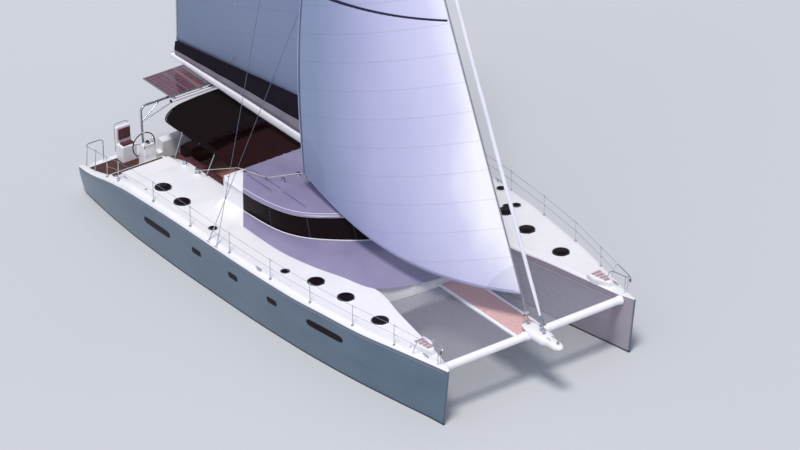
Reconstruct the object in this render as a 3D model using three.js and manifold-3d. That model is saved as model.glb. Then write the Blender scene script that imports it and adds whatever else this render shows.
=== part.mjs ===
// Sailing catamaran, 18 m, afloat with full sail set. Millimetres, +X to the bows, +Y to port, +Z up.
// The origin is on the waterline, amidships on the centreline.
import * as THREE from "three";
import { mergeVertices } from "three/addons/utils/BufferGeometryUtils.js";
import Module from "manifold-3d";

const wasm = await Module();
wasm.setup();

// Driving dimensions
const GAP = 0.3; // running gap between pieces that touch
const STARBOARD = -1;
const PORT = 1;
const SIDES = [["starboard", STARBOARD], ["port", PORT]];

const HULL_INNER = 2300; // |y| of the hull's inner wall where the bridgedeck meets it
const DECK_TOP = 1950;
const TUNNEL_TOP = 800; // underside of the bridgedeck
const STERN = -8860;
const STEM = 8900;

const PLATFORM = { start: -7500, top: 950 };
const MIDDLE_STEP = { start: -7050, top: 1250 };
const TOP_STEP = { start: -6600, top: 1550 };

const SALOON_SOLE = 950;
const COCKPIT_SOLE = 1050;
const COCKPIT_AFT = -7300;
const BULKHEAD = { aft: -2870, front: -2810, top: 2780, half: 2850 };
const SILL = 2130; // lower edge of the saloon windows
const EAVES = 2780; // upper edge of the saloon windows
const ROOF_TOP = 2900;
const WALL = 60;
const GLASS = 12;

const BEAM = { x: 8450, z: 1750, radius: 120, reach: 3250 };
const WALKWAY = { aft: 4400, half: 520, top: 1750, thick: 90 };
const NET_TOP = 1712;
const NET_THICK = 12;

const MAST = { x: 0, chord: 170, half: 100, top: 22800 };
const SPREADER = { z: 13300, x: -950, y: 1950 };
const SHROUD_RADIUS = 8;
const TOGGLE = 45; // length of the fork beyond the point where a stay is held
const TOGGLE_RADIUS = 18;
const CHAINPLATE = { z: 1905, y: 4500 };
const INNER_STAY = { foot: [8230, 0, 2060], head: [190, 0, 19700], radius: 24 };
const OUTER_STAY = { foot: [8960, 0, 2060], head: [190, 0, 20900], radius: 12 };

const GOOSENECK = { x: -255, z: 3200 };
const LUG_GAP = 45; // half the space between the gooseneck's two lugs
const BOOM = { front: -420, aft: -9800, bottom: 3010 };
const HEAD = 22300;

const RUDDER = { x: -7750, y: 3375, top: -400, bottom: -1300, bearing: 90, stock: 45, seat: 15 };
const DRIVE = { x: -5900, y: 3375, hub: -950 };
const PROPELLER_RADIUS = 260;

const HATCH_RADIUS = 260;
const HATCH_THICK = 30;

// Solids and shapes
function merged(geometry) {
  const bare = geometry.clone();
  bare.deleteAttribute("normal");
  bare.deleteAttribute("uv");
  return mergeVertices(bare, 1e-4);
}

function solid(geometry) {
  const shape = merged(geometry);
  const vertProperties = new Float32Array(shape.attributes.position.array);
  const triVerts = new Uint32Array(shape.index.array);
  return new wasm.Manifold(new wasm.Mesh({ numProp: 3, vertProperties, triVerts }));
}

function box(x0, x1, y0, y1, z0, z1) {
  const shape = new THREE.BoxGeometry(x1 - x0, y1 - y0, z1 - z0);
  shape.translate((x0 + x1) / 2, (y0 + y1) / 2, (z0 + z1) / 2);
  return solid(shape);
}

// A box whose y range is given outward from the centreline, on one side of the boat.
function sideBox(side, x0, x1, near, far, z0, z1) {
  const [low, high] = side > 0 ? [near, far] : [-far, -near];
  return box(x0, x1, low, high, z0, z1);
}

function rod(from, to, radius, sides = 12, endRadius = radius) {
  const a = new THREE.Vector3(...from);
  const b = new THREE.Vector3(...to);
  const span = b.clone().sub(a);
  const shape = new THREE.CylinderGeometry(endRadius, radius, span.length(), sides);
  shape.applyQuaternion(new THREE.Quaternion().setFromUnitVectors(
    new THREE.Vector3(0, 1, 0), span.clone().normalize()));
  const middle = a.add(b).multiplyScalar(0.5);
  shape.translate(middle.x, middle.y, middle.z);
  return solid(shape);
}

// The point a given distance from one place towards another.
function towards(from, to, distance) {
  const start = new THREE.Vector3(...from);
  const step = new THREE.Vector3(...to).sub(start).setLength(distance);
  return start.add(step).toArray();
}

// The fork that holds the end of a stay, in line with it.
function toggle(at, other) {
  return rod(towards(at, other, -TOGGLE_RADIUS), towards(at, other, TOGGLE), TOGGLE_RADIUS, 8);
}

// A wire between the forks at two places.
function stay(from, to, radius, sides = 8) {
  const end = TOGGLE + GAP;
  return rod(towards(from, to, end), towards(to, from, end), radius, sides);
}

// An outline in x and y, given as points, raised between two heights.
function raised(points, z0, z1) {
  const outline = new THREE.Shape(points.map(([x, y]) => new THREE.Vector2(x, y)));
  const shape = new THREE.ExtrudeGeometry(outline, { depth: z1 - z0, bevelEnabled: false });
  shape.translate(0, 0, z0);
  return solid(shape);
}

// An outline in x and z, extruded across the boat between two y values.
function across(points, y0, y1) {
  const outline = new THREE.Shape(points.map(([x, z]) => new THREE.Vector2(x, z)));
  const shape = new THREE.ExtrudeGeometry(outline, { depth: y1 - y0, bevelEnabled: false });
  shape.rotateX(Math.PI / 2);
  shape.translate(0, y1, 0);
  return solid(shape);
}

// An outline in y and z, extruded along the boat between two x values.
function along(points, x0, x1) {
  const outline = new THREE.Shape(points.map(([y, z]) => new THREE.Vector2(y, z)));
  const shape = new THREE.ExtrudeGeometry(outline, { depth: x1 - x0, bevelEnabled: false });
  shape.applyQuaternion(new THREE.Quaternion(0.5, 0.5, 0.5, 0.5));
  shape.translate(x0, 0, 0);
  return solid(shape);
}

function signedVolume(points, faces) {
  let volume = 0;
  for (const [a, b, c] of faces) {
    volume += points[a].dot(points[b].clone().cross(points[c])) / 6;
  }
  return volume;
}

function closedGeometry(points, faces) {
  const outward = signedVolume(points, faces) > 0;
  const index = faces.flatMap(([a, b, c]) => (outward ? [a, b, c] : [a, c, b]));
  const shape = new THREE.BufferGeometry();
  shape.setAttribute("position", new THREE.Float32BufferAttribute(
    points.flatMap((p) => [p.x, p.y, p.z]), 3));
  shape.setIndex(index);
  return shape;
}

// The triangles that close an end of a loft. They run the way the ring does where `withRing` is true.
function capFaces(ring, offset, flat, withRing) {
  const outline = ring.map(flat);
  const turn = THREE.ShapeUtils.area(outline) > 0;
  return THREE.ShapeUtils.triangulateShape(outline, []).map(([a, b, c]) => {
    const same = (THREE.ShapeUtils.area([outline[a], outline[b], outline[c]]) > 0) === turn;
    const face = same === withRing ? [a, b, c] : [c, b, a];
    return face.map((i) => i + offset);
  });
}

// Rings of equally many points joined into one body. The end caps are flattened with `flat`.
function loft(rings, flat) {
  const count = rings[0].length;
  const points = rings.flat();
  const faces = [];
  for (let ring = 0; ring + 1 < rings.length; ring += 1) {
    for (let i = 0; i < count; i += 1) {
      const next = (i + 1) % count;
      const a = ring * count + i;
      const b = ring * count + next;
      faces.push([a, b, b + count], [a, b + count, a + count]);
    }
  }
  faces.push(...capFaces(rings[0], 0, flat, false));
  faces.push(...capFaces(rings.at(-1), points.length - count, flat, true));
  return solid(closedGeometry(points, faces));
}

const seenFromFront = (p) => new THREE.Vector2(p.y, p.z);
const seenFromAbove = (p) => new THREE.Vector2(p.x, p.y);

// A curved sheet from a grid of points, given a thickness across the boat.
function sheet(pointAt, rows, columns, thick) {
  const points = [];
  for (const half of [-thick / 2, thick / 2]) {
    for (let i = 0; i <= rows; i += 1) {
      for (let j = 0; j <= columns; j += 1) {
        const [x, y, z] = pointAt(i / rows, j / columns);
        points.push(new THREE.Vector3(x, y + half, z));
      }
    }
  }
  const width = columns + 1;
  const layer = width * (rows + 1);
  const faces = [];
  for (let i = 0; i < rows; i += 1) {
    for (let j = 0; j < columns; j += 1) {
      const a = i * width + j;
      const quad = [a, a + 1, a + width + 1, a + width];
      faces.push([quad[0], quad[1], quad[2]], [quad[0], quad[2], quad[3]]);
      const [p, q, r, s] = quad.map((k) => k + layer);
      faces.push([p, r, q], [p, s, r]);
    }
  }
  const rim = [];
  for (let j = 0; j < columns; j += 1) rim.push([j, j + 1]);
  for (let i = 0; i < rows; i += 1) rim.push([i * width + columns, (i + 1) * width + columns]);
  for (let j = columns; j > 0; j -= 1) rim.push([rows * width + j, rows * width + j - 1]);
  for (let i = rows; i > 0; i -= 1) rim.push([i * width, (i - 1) * width]);
  for (const [a, b] of rim) faces.push([b, a, a + layer], [b, a + layer, b + layer]);
  return solid(closedGeometry(points, faces));
}

// Cuts a piece by a neighbour, leaving the running gap on the side that `shift` names.
function trimmed(piece, neighbour, shift) {
  return piece.subtract(neighbour).subtract(neighbour.translate(shift.map((v) => v * GAP)));
}

function joined(pieces) {
  return pieces.reduce((whole, piece) => whole.add(piece));
}

// Finishes
const finish = (color, roughness, metalness = 0) =>
  new THREE.MeshStandardMaterial({ color, roughness, metalness });
const GELCOAT = finish(0xf2f3f4, 0.35);
const ANTIFOULING = finish(0x2b3440, 0.8);
const DARK_GLASS = finish(0x1a1112, 0.15);
const TEAK = finish(0x9a6f55, 0.7);
const SAILCLOTH = finish(0xe4e4f2, 0.8);
const BAG_CANVAS = finish(0x15141d, 0.9);
const AWNING = finish(0x1d1312, 0.9);
const CUSHION = finish(0x6b3f44, 0.9);
const NET = finish(0x8f8e99, 0.9);
const ALLOY = finish(0xd9dbdd, 0.4, 0.6);
const STEEL = finish(0xc4c8cc, 0.25, 0.9);
const BRONZE = finish(0xa9865a, 0.4, 0.9);
const CELLS = finish(0x3c1a26, 0.3);

const catamaran = new THREE.Group();

function place(name, body, material) {
  const mesh = body.getMesh();
  const geometry = new THREE.BufferGeometry();
  geometry.setAttribute("position", new THREE.Float32BufferAttribute(mesh.vertProperties, 3));
  geometry.setIndex(Array.from(mesh.triVerts));
  geometry.computeVertexNormals();
  const piece = new THREE.Mesh(geometry, material);
  piece.name = name;
  catamaran.add(piece);
  return body;
}

// Hulls
// Columns: x at deck level, keel z, sheer z, deck z, then |y| of the outer sheer, outer waterline,
// inner waterline and inner sheer, and how far the waterline lies aft of the deck point.
const HULL_SECTIONS = [
  [STERN, -120, 1000, 1020, 4200, 3960, 2800, 2300, 0],
  [-8000, -280, 1170, 1240, 4360, 4080, 2700, 2300, 0],
  [-6600, -430, 1550, 1700, 4550, 4230, 2560, 2300, 0],
  [-5400, -510, 1730, 1950, 4610, 4310, 2480, 2300, 0],
  [-3000, -590, 1790, 1950, 4575, 4360, 2430, 2300, 0],
  [0, -620, 1800, 1950, 4545, 4330, 2430, 2300, 0],
  [2500, -600, 1810, 1950, 4450, 4220, 2510, 2300, 0],
  [4100, -570, 1820, 1950, 4270, 4080, 2630, 2300, 0],
  [5500, -520, 1830, 1950, 4100, 3900, 2810, 2590, 0],
  [7000, -450, 1850, 1940, 3790, 3660, 3050, 2870, 20],
  [8300, -350, 1865, 1915, 3510, 3450, 3270, 3130, 90],
  [STEM, -300, 1880, 1900, 3400, 3395, 3345, 3340, 250],
];
const BILGE_STEPS = 5;

function hullRing([x, keel, sheer, deck, outSheer, outWater, inWater, inSheer, rake], side) {
  const centre = (outWater + inWater) / 2;
  const width = outSheer - inSheer;
  const shoulder = Math.min(220, width * 0.3);
  const points = [];
  for (let i = 0; i < BILGE_STEPS; i += 1) {
    const turn = (i / BILGE_STEPS) * (Math.PI / 2);
    points.push([centre + (outWater - centre) * Math.sin(turn) ** 0.9, keel * Math.cos(turn) ** 0.9]);
  }
  points.push([outWater, 0]);
  points.push([outWater + (outSheer - outWater) * 0.62, sheer * 0.5]);
  points.push([outSheer, sheer]);
  points.push([outSheer - shoulder * 0.3, sheer + (deck - sheer) * 0.62]);
  points.push([outSheer - shoulder, deck]);
  points.push([inSheer + width * 0.08, deck]);
  points.push([inSheer, deck - width * 0.02]);
  points.push([inSheer, Math.min(TUNNEL_TOP - 20, sheer * 0.7)]);
  points.push([inSheer + (inWater - inSheer) * 0.6, Math.min(TUNNEL_TOP - 20, sheer * 0.7) * 0.5]);
  points.push([inWater, 0]);
  for (let i = BILGE_STEPS - 1; i > 0; i -= 1) {
    const turn = (i / BILGE_STEPS) * (Math.PI / 2);
    points.push([centre + (inWater - centre) * Math.sin(turn) ** 0.9, keel * Math.cos(turn) ** 0.9]);
  }
  return points.map(([y, z]) => {
    const low = 1 - Math.max(0, z) / deck;
    return new THREE.Vector3(x - rake * low, side * y, z);
  });
}

// The hull section at any station, between the sections of the table.
function sectionAt(x) {
  const i = Math.max(1, HULL_SECTIONS.findIndex(([at]) => at >= x));
  const [before, after] = [HULL_SECTIONS[i - 1], HULL_SECTIONS[i]];
  const share = (x - before[0]) / (after[0] - before[0]);
  return before.map((v, k) => v + (after[k] - v) * share);
}

// The stern steps are cut inside a rim that follows the sheer.
const STEP_RIM = { front: 4400, aft: 4060, inner: 2200, high: 2200, past: 100 };

// Shroud feet along the sheer: x of each chainplate, and the wires' heads on the mast
const CHAINPLATES = [-1000, -1400];
const PLATE = { half: 60, bottom: 1650, below: 20 };
const SHROUD_HEADS = { cap: [0, 130, 22400], lower: [-40, 130, 13000] };

// The three wires on one side of the mast.
function shrouds(side) {
  const [capFoot, lowerFoot] = CHAINPLATES.map((x) => [x, side * CHAINPLATE.y, CHAINPLATE.z]);
  const tip = [SPREADER.x, side * SPREADER.y, SPREADER.z];
  const [capHead, lowerHead] = [SHROUD_HEADS.cap, SHROUD_HEADS.lower].map(([x, y, z]) => [x, side * y, z]);
  return [
    { name: "cap_shroud_low", foot: capFoot, head: tip, onDeck: true },
    { name: "cap_shroud_high", foot: tip, head: capHead, onDeck: false },
    { name: "lower_shroud", foot: lowerFoot, head: lowerHead, onDeck: true },
  ];
}

// Round deck hatches. Columns: x, |y|, name
const HATCHES = [
  [-4790, 3830, "aft"],
  [-3710, 3880, "quarter"],
  [2560, 3460, "middle"],
  [3820, 3300, "fore"],
  [5490, 3290, "bow"],
];
const HATCH_SEAT = { depth: 8, high: 40, play: 6, sides: 24, taper: 10 };

function sternSteps(side) {
  const far = STERN - STEP_RIM.past;
  const rimAt = (x) => STEP_RIM.front
    + (STEP_RIM.aft - STEP_RIM.front) * (x - TOP_STEP.start) / (STERN - TOP_STEP.start);
  return [TOP_STEP, MIDDLE_STEP, PLATFORM].map(({ start, top }) => {
    const plan = [[start, STEP_RIM.inner], [start, rimAt(start)], [far, rimAt(far)], [far, STEP_RIM.inner]];
    return raised(plan.map(([x, y]) => [x, side * y]), top, STEP_RIM.high);
  });
}

function hull(side) {
  const skin = loft(HULL_SECTIONS.map((row) => hullRing(row, side)), seenFromFront);
  const bearing = rod([RUDDER.x, side * RUDDER.y, 0],
    [RUDDER.x, side * RUDDER.y, RUDDER.top + RUDDER.seat], RUDDER.bearing);
  const plates = CHAINPLATES.map((x) => sideBox(side, x - PLATE.half, x + PLATE.half,
    CHAINPLATE.y - PLATE.half, CHAINPLATE.y + PLATE.half, PLATE.bottom, CHAINPLATE.z - PLATE.below));
  const toggles = shrouds(side).filter(({ onDeck }) => onDeck).map(({ foot, head }) => toggle(foot, head));
  const seats = HATCHES.map(([x, y]) => rod([x, side * y, DECK_TOP - HATCH_SEAT.depth],
    [x, side * y, DECK_TOP + HATCH_SEAT.high], HATCH_RADIUS + HATCH_SEAT.play, HATCH_SEAT.sides));
  const whole = joined([skin.subtract(joined(sternSteps(side))), bearing, ...plates, ...toggles]);
  return whole.subtract(joined(seats));
}

// Fin keels. Columns: z, front x, aft x, half thickness
const KEEL_LEVELS = [
  [-300, 1500, -1900, 170],
  [-800, 1350, -1650, 150],
  [-1300, 1100, -1500, 120],
];

// A fish-shaped section, blunt in front, between two x values.
function foil(front, aft, half, z, y) {
  const chord = front - aft;
  const stations = [0, 0.04, 0.14, 0.32, 0.62, 1];
  const widths = [0.12, 0.55, 0.9, 1, 0.66, 0.08];
  const upper = stations.map((s, i) => [front - chord * s, half * widths[i]]);
  const lower = [...upper].reverse().map(([x, w]) => [x, -w]);
  return [...upper, ...lower].map(([x, w]) => new THREE.Vector3(x, y + w, z));
}

function keel(side, hullBody) {
  const rings = KEEL_LEVELS.map(([z, front, aft, half]) =>
    foil(front, aft, half, z, side * RUDDER.y));
  return trimmed(loft(rings, seenFromAbove), hullBody, [0, 0, -1]);
}

// Rudder blades. Columns: z, front x, aft x, half thickness
const RUDDER_LEVELS = [
  [RUDDER.top - RUDDER.seat, RUDDER.x + 150, RUDDER.x - 420, 45],
  [RUDDER.bottom, RUDDER.x + 110, RUDDER.x - 300, 30],
];

function rudder(side) {
  const y = side * RUDDER.y;
  const blade = loft(RUDDER_LEVELS.map(([z, front, aft, half]) => foil(front, aft, half, z, y)),
    seenFromAbove);
  const stock = rod([RUDDER.x, y, RUDDER.top - RUDDER.stock],
    [RUDDER.x, y, RUDDER.top + RUDDER.seat - GAP], RUDDER.stock);
  return blade.add(stock);
}

function drive(side, hullBody) {
  const y = side * DRIVE.y;
  const leg = loft([-300, DRIVE.hub].map((z) => foil(DRIVE.x + 180, DRIVE.x - 160, 50, z, y)),
    seenFromAbove);
  const hub = rod([DRIVE.x - 190, y, DRIVE.hub], [DRIVE.x + 160, y, DRIVE.hub], 75, 12, 35);
  return trimmed(leg, hullBody, [0, 0, -1]).add(hub);
}

function propeller(side) {
  const y = side * DRIVE.y;
  const x = DRIVE.x - 190 - GAP;
  const boss = rod([x - 110, y, DRIVE.hub], [x, y, DRIVE.hub], 35, 12, 55);
  const blades = [0, 1, 2].map((i) => {
    const blade = new THREE.BoxGeometry(22, 130, PROPELLER_RADIUS - 30);
    blade.rotateZ(0.5);
    blade.translate(0, 0, (PROPELLER_RADIUS + 30) / 2);
    blade.rotateX((i * 2 * Math.PI) / 3);
    blade.translate(x - 55, y, DRIVE.hub);
    return solid(blade);
  });
  return joined([boss, ...blades]);
}

function hatch(side, [x, y]) {
  const low = DECK_TOP - HATCH_SEAT.depth + GAP;
  return rod([x, side * y, low], [x, side * y, low + HATCH_THICK], HATCH_RADIUS, HATCH_SEAT.sides,
    HATCH_RADIUS - HATCH_SEAT.taper);
}

const hulls = {};
for (const [name, side] of SIDES) {
  hulls[name] = place(`hull_${name}`, hull(side), GELCOAT);
  place(`keel_${name}`, keel(side, hulls[name]), ANTIFOULING);
  place(`rudder_${name}`, rudder(side), ANTIFOULING);
  place(`saildrive_${name}`, drive(side, hulls[name]), ALLOY);
  place(`propeller_${name}`, propeller(side), BRONZE);
  for (const row of HATCHES) place(`hatch_${row[2]}_${name}`, hatch(side, row), DARK_GLASS);
}

// Guard rails: posts along the side deck with two wires, a bent rail at the stern and a pulpit at the bow
const RAIL = { inset: 85, height: 640, wires: [620, 330], sunk: 60, tube: 14, wire: 6, leg: 900 };
const RAIL_POSTS = [-6200, -4300, -2400, -400, 1600, 3400, 5200, 6800]; // x of each post
const STERN_RAIL_START = -6900; // x where the wires end on the stern rail
// The bent rails, point by point. Columns: x, |y|, z
const STERN_RAIL = [[-8610, 4080, 1780], [-8740, 3900, 1740], [-8760, 3350, 1720], [-8760, 3350, 900]];
const PULPIT = [[7500, 3610, 1850], [7750, 3580, 2520], [8550, 3440, 2500], [8680, 3380, 2480],
  [8550, 3320, 2500], [7950, 3200, 2500], [7750, 3120, 1850]];
// Struts under the bent rails. Columns: x and |y| at the foot, x, |y| and z at the head
const STRUTS = [[-7850, 4270, -7850, 4205, 2025], [-8720, 4000, -8700, 3960, 1750],
  [8450, 3420, 8500, 3440, 2500], [8450, 3330, 8500, 3330, 2500]];

function guardRail(side, hullBody) {
  const out = ([x, y, z]) => [x, side * y, z];
  const chain = (points, radius, sides) => points.slice(1).map((point, i) =>
    rod(out(points[i]), out(point), radius, sides));
  const feet = [STERN_RAIL_START, ...RAIL_POSTS].map((x) => {
    const [, , , deck, outSheer] = sectionAt(x);
    return [x, outSheer - RAIL.inset, deck];
  });
  const raisedBy = (height) => feet.map(([x, y, z]) => [x, y, z + height]);
  const posts = feet.map(([x, y, z]) => rod(out([x, y, z - RAIL.sunk]), out([x, y, z + RAIL.height]),
    RAIL.tube, 6));
  const [pulpitFoot, pulpitTop] = PULPIT;
  const pulpitMiddle = pulpitFoot.map((v, k) => (v + pulpitTop[k]) / 2);
  const [high, low] = RAIL.wires;
  const wires = [
    ...chain([...raisedBy(high), pulpitTop], RAIL.wire, 4),
    ...chain([...raisedBy(low), pulpitMiddle], RAIL.wire, 4)];
  const struts = STRUTS.map(([x0, y0, x1, y1, z1]) =>
    rod(out([x0, y0, z1 - RAIL.leg]), out([x1, y1, z1]), RAIL.tube, 6));
  const bent = [...chain([raisedBy(RAIL.height - RAIL.tube)[0], ...STERN_RAIL], RAIL.tube, 6),
    ...chain(PULPIT, RAIL.tube, 6)];
  return trimmed(joined([...posts, ...bent, ...struts, ...wires]), hullBody, [0, 0, 1]);
}

for (const [name, side] of SIDES) place(`guard_rail_${name}`, guardRail(side, hulls[name]), STEEL);

// Half outlines of the deckhouse seen from above. Columns: x, |y|
const HOUSE_BASE = [[-2900, 3250], [-1400, 3280], [500, 3260], [1800, 3020], [2800, 2700],
  [3900, 2340], [4430, 1250], [4600, 0]];
const WINDOW_FOOT = [[-2900, 2920], [-2000, 2900], [-750, 2830], [-50, 2680], [550, 2360],
  [1350, 1550], [1850, 800], [2050, 0]];
const WINDOW_HEAD = [[-2900, 2920], [-1950, 2920], [-850, 2820], [-50, 2600], [450, 2280],
  [1050, 1550], [1450, 800], [1600, 0]];
const OUTLINE_STEPS = 14;

// Window pillars, as steps round the outline from the port quarter.
const PILLARS = [1, 5, 8, 11, 17, 20, 23, 27];

// The whole outline, moved inward by `inset`, as a ring at height z.
function outlineRing(half, z, inset = 0) {
  const curve = new THREE.CatmullRomCurve3(
    half.map(([x, y]) => new THREE.Vector3(x, y, 0)), false, "centripetal");
  const knots = Array.from({ length: OUTLINE_STEPS + 1 }, (_, i) => curve.getPointAt(i / OUTLINE_STEPS));
  const inward = knots.map((point, i) => {
    const tangent = curve.getTangentAt(i / OUTLINE_STEPS);
    const moved = new THREE.Vector2(point.x + tangent.y * inset, point.y - tangent.x * inset);
    if (i === 0) moved.set(point.x + inset, point.y - inset);
    if (i === OUTLINE_STEPS) moved.set(point.x - inset, 0);
    return moved;
  });
  const mirror = inward.slice(0, -1).reverse();
  return [...inward.map((p) => new THREE.Vector3(p.x, p.y, z)),
    ...mirror.map((p) => new THREE.Vector3(p.x, -p.y, z))];
}

// The window outline at any height, leaning from its foot to its head.
function windowRing(z, inset = 0) {
  const share = (z - SILL) / (EAVES - SILL);
  const foot = outlineRing(WINDOW_FOOT, z, inset);
  const head = outlineRing(WINDOW_HEAD, z, inset);
  return foot.map((point, i) => point.lerp(head[i], share));
}

// Bridgedeck: a tray between the hulls with the saloon and cockpit soles and a solid nose.
const NOSE_AFT = 2120;
const COAMING = { aft: -7600, half: 2150, shoulder: 1500, top: 1900, bevel: 60 };

function bridgedeck() {
  const side = HULL_INNER - GAP;
  const profile = [[COAMING.aft, TUNNEL_TOP], [4050, TUNNEL_TOP], [4420, 1150], [4700, DECK_TOP - GAP],
    [NOSE_AFT, DECK_TOP - GAP], [NOSE_AFT, SALOON_SOLE], [BULKHEAD.front, SALOON_SOLE],
    [BULKHEAD.front, COCKPIT_SOLE], [COCKPIT_AFT, COCKPIT_SOLE], [COCKPIT_AFT, COAMING.shoulder],
    [COAMING.aft, COAMING.shoulder]];
  const { aft, half, shoulder, top, bevel } = COAMING;
  const coaming = across([[aft, shoulder - bevel], [COCKPIT_AFT, shoulder - bevel],
    [COCKPIT_AFT, top - bevel], [COCKPIT_AFT - bevel, top], [aft + bevel, top], [aft, top - bevel]],
  -half, half);
  const plan = [[-7700, side], [3900, side], [4400, 1250], [4560, 0]];
  const outline = [...plan, ...plan.slice(0, -1).reverse().map(([x, y]) => [x, -y])];
  return across(profile, -side, side).intersect(raised(outline, 0, DECK_TOP)).add(coaming);
}

function deckhouse() {
  const shell = loft([outlineRing(HOUSE_BASE, DECK_TOP + GAP), outlineRing(WINDOW_FOOT, SILL)],
    seenFromAbove);
  const room = loft([outlineRing(WINDOW_FOOT, DECK_TOP - 100, WALL),
    outlineRing(WINDOW_FOOT, SILL + 100, WALL)], seenFromAbove);
  const aftOpening = box(-3100, BULKHEAD.front + GAP, -2860, 2860, 1800, 2300);
  const coaming = shell.subtract(room).subtract(aftOpening);
  const roof = loft([
    outlineRing(WINDOW_HEAD, EAVES, -20),
    outlineRing(WINDOW_HEAD, EAVES + 50, -50),
    outlineRing(WINDOW_HEAD, ROOF_TOP, 420),
  ], seenFromAbove);
  const foot = windowRing(SILL - 20, GLASS + 28);
  const head = windowRing(EAVES + 20, GLASS + 28);
  const pillars = PILLARS.map((i) => rod(foot[i].toArray(), head[i].toArray(), 24, 8));
  return joined([coaming, roof, ...pillars]);
}

function saloonWindows() {
  const outer = loft([windowRing(SILL + GAP), windowRing(EAVES - GAP)], seenFromAbove);
  const inner = loft([windowRing(SILL - 50, GLASS), windowRing(EAVES + 50, GLASS)], seenFromAbove);
  const aft = box(-3100, BULKHEAD.front + GAP, -3200, 3200, 2000, 2900);
  return outer.subtract(inner).subtract(aft);
}

const DOOR = { low: -950, high: 30, top: 2650, thick: 30, travel: 980, rim: 50, frame: 110, sill: 1500 };
const DOOR_TRACK = { wide: 45, high: 25, play: 5 };

// Window openings in the bulkhead, z and then each one's two y values
const PANE_Z = [1650, 2600];
const PANES = [[-2100, -1150], [180, 1000], [1150, 2100]];

function bulkhead() {
  const low = COCKPIT_SOLE + GAP;
  const half = HULL_INNER - GAP;
  const { aft, front, top, half: upperHalf } = BULKHEAD;
  const lower = box(aft, front, -half, half, low, DECK_TOP + GAP);
  const upper = box(aft, front, -upperHalf, upperHalf, DECK_TOP + GAP, top - GAP);
  const trackTop = low + DOOR_TRACK.high;
  const track = box(aft - DOOR_TRACK.wide, aft, DOOR.low, DOOR.high + DOOR.travel, low, trackTop);
  const hole = (y0, y1, z0, z1) => box(aft - WALL, front + WALL, y0, y1, z0, z1);
  const doorway = hole(DOOR.low + DOOR.rim, DOOR.high - DOOR.rim, trackTop, DOOR.top - DOOR.rim);
  const panes = PANES.map(([y0, y1]) => hole(y0, y1, ...PANE_Z));
  return joined([lower, upper, track]).subtract(joined([doorway, ...panes]));
}

function door() {
  const { low, high, top, thick, frame: edge, sill } = DOOR;
  const aft = BULKHEAD.aft - DOOR_TRACK.play - thick;
  const leaf = box(aft, aft + thick, low, high, COCKPIT_SOLE + DOOR_TRACK.high + 2 * GAP, top);
  return leaf.subtract(box(aft - thick, aft + 2 * thick, low + edge, high - edge, sill, top - edge));
}

const bridgedeckBody = place("bridgedeck", bridgedeck(), GELCOAT);
place("coachroof", deckhouse(), GELCOAT);
place("saloon_windows", saloonWindows(), DARK_GLASS);
place("saloon_bulkhead", bulkhead(), GELCOAT);
place("saloon_door", door(), ALLOY);

// Cockpit: one moulding of three benches, joined by a low step in each aft corner, and their cushions
const BENCH_TOP = 1500;
const CUSHION_THICK = 110;
const CUSHION_EDGE = 20;
const BENCH = { front: -3500, aft: -6500, near: 1650 };
const AFT_BENCH = { front: -6750, half: 1500 };
const CORNER_STEP = { front: BENCH.aft + 50, near: AFT_BENCH.half - 50, top: 1250 };

function benches() {
  const low = COCKPIT_SOLE + GAP;
  const far = HULL_INNER - GAP;
  const aft = COCKPIT_AFT + GAP;
  const back = box(aft, AFT_BENCH.front, -AFT_BENCH.half, AFT_BENCH.half, low, BENCH_TOP);
  const sides = SIDES.flatMap(([, side]) => [
    sideBox(side, BENCH.aft, BENCH.front, BENCH.near, far, low, BENCH_TOP),
    sideBox(side, aft, CORNER_STEP.front, BENCH.near, far, low, CORNER_STEP.top),
    sideBox(side, aft, AFT_BENCH.front, CORNER_STEP.near, BENCH.near + 50, low, CORNER_STEP.top)]);
  return joined([back, ...sides]);
}
place("cockpit_benches", benches(), GELCOAT);

for (const [name, side] of SIDES) {
  place(`bench_cushion_${name}`, sideBox(side, BENCH.aft + CUSHION_EDGE, BENCH.front - CUSHION_EDGE,
    BENCH.near, HULL_INNER - GAP - CUSHION_EDGE, BENCH_TOP + GAP, BENCH_TOP + CUSHION_THICK), CUSHION);
}
place("bench_cushion_aft", box(COCKPIT_AFT + 2 * CUSHION_EDGE, AFT_BENCH.front,
  -AFT_BENCH.half + CUSHION_EDGE, AFT_BENCH.half - CUSHION_EDGE,
  BENCH_TOP + GAP, BENCH_TOP + CUSHION_THICK), CUSHION);

const TABLE = { x: -4900, y: 950, top: 1790, length: 1500, width: 800, thick: 35, legs: [-400, 400], leg: 45 };

function table() {
  const { x, y, top, length, width, thick } = TABLE;
  const board = box(x - length / 2, x + length / 2, y - width / 2, y + width / 2, top - thick, top);
  const legs = TABLE.legs.map((dx) =>
    rod([x + dx, y, COCKPIT_SOLE + GAP], [x + dx, y, top - thick / 2], TABLE.leg));
  return joined([board, ...legs]);
}
place("cockpit_table", table(), TEAK);

// Helm stations on the stern steps, each with a wheel and a bench seat
const HELM = { x: -7250, y: 2720, axle: 1880, wheel: 400, rim: 18, spoke: 9, spokes: 5 };
const HELM_AXLE = { radius: 35, reach: 175, boss: 55, bossHalf: 30 };
// Console levels. Columns: z, half length, half width
const CONSOLE = [[MIDDLE_STEP.top + GAP, 190, 230], [1700, 160, 220], [2020, 100, 200]];
const SEAT = { aft: -8660, back: -8560, front: -8240, half: 260, top: 1500, backLow: 1350, backTop: 2050 };

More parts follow.
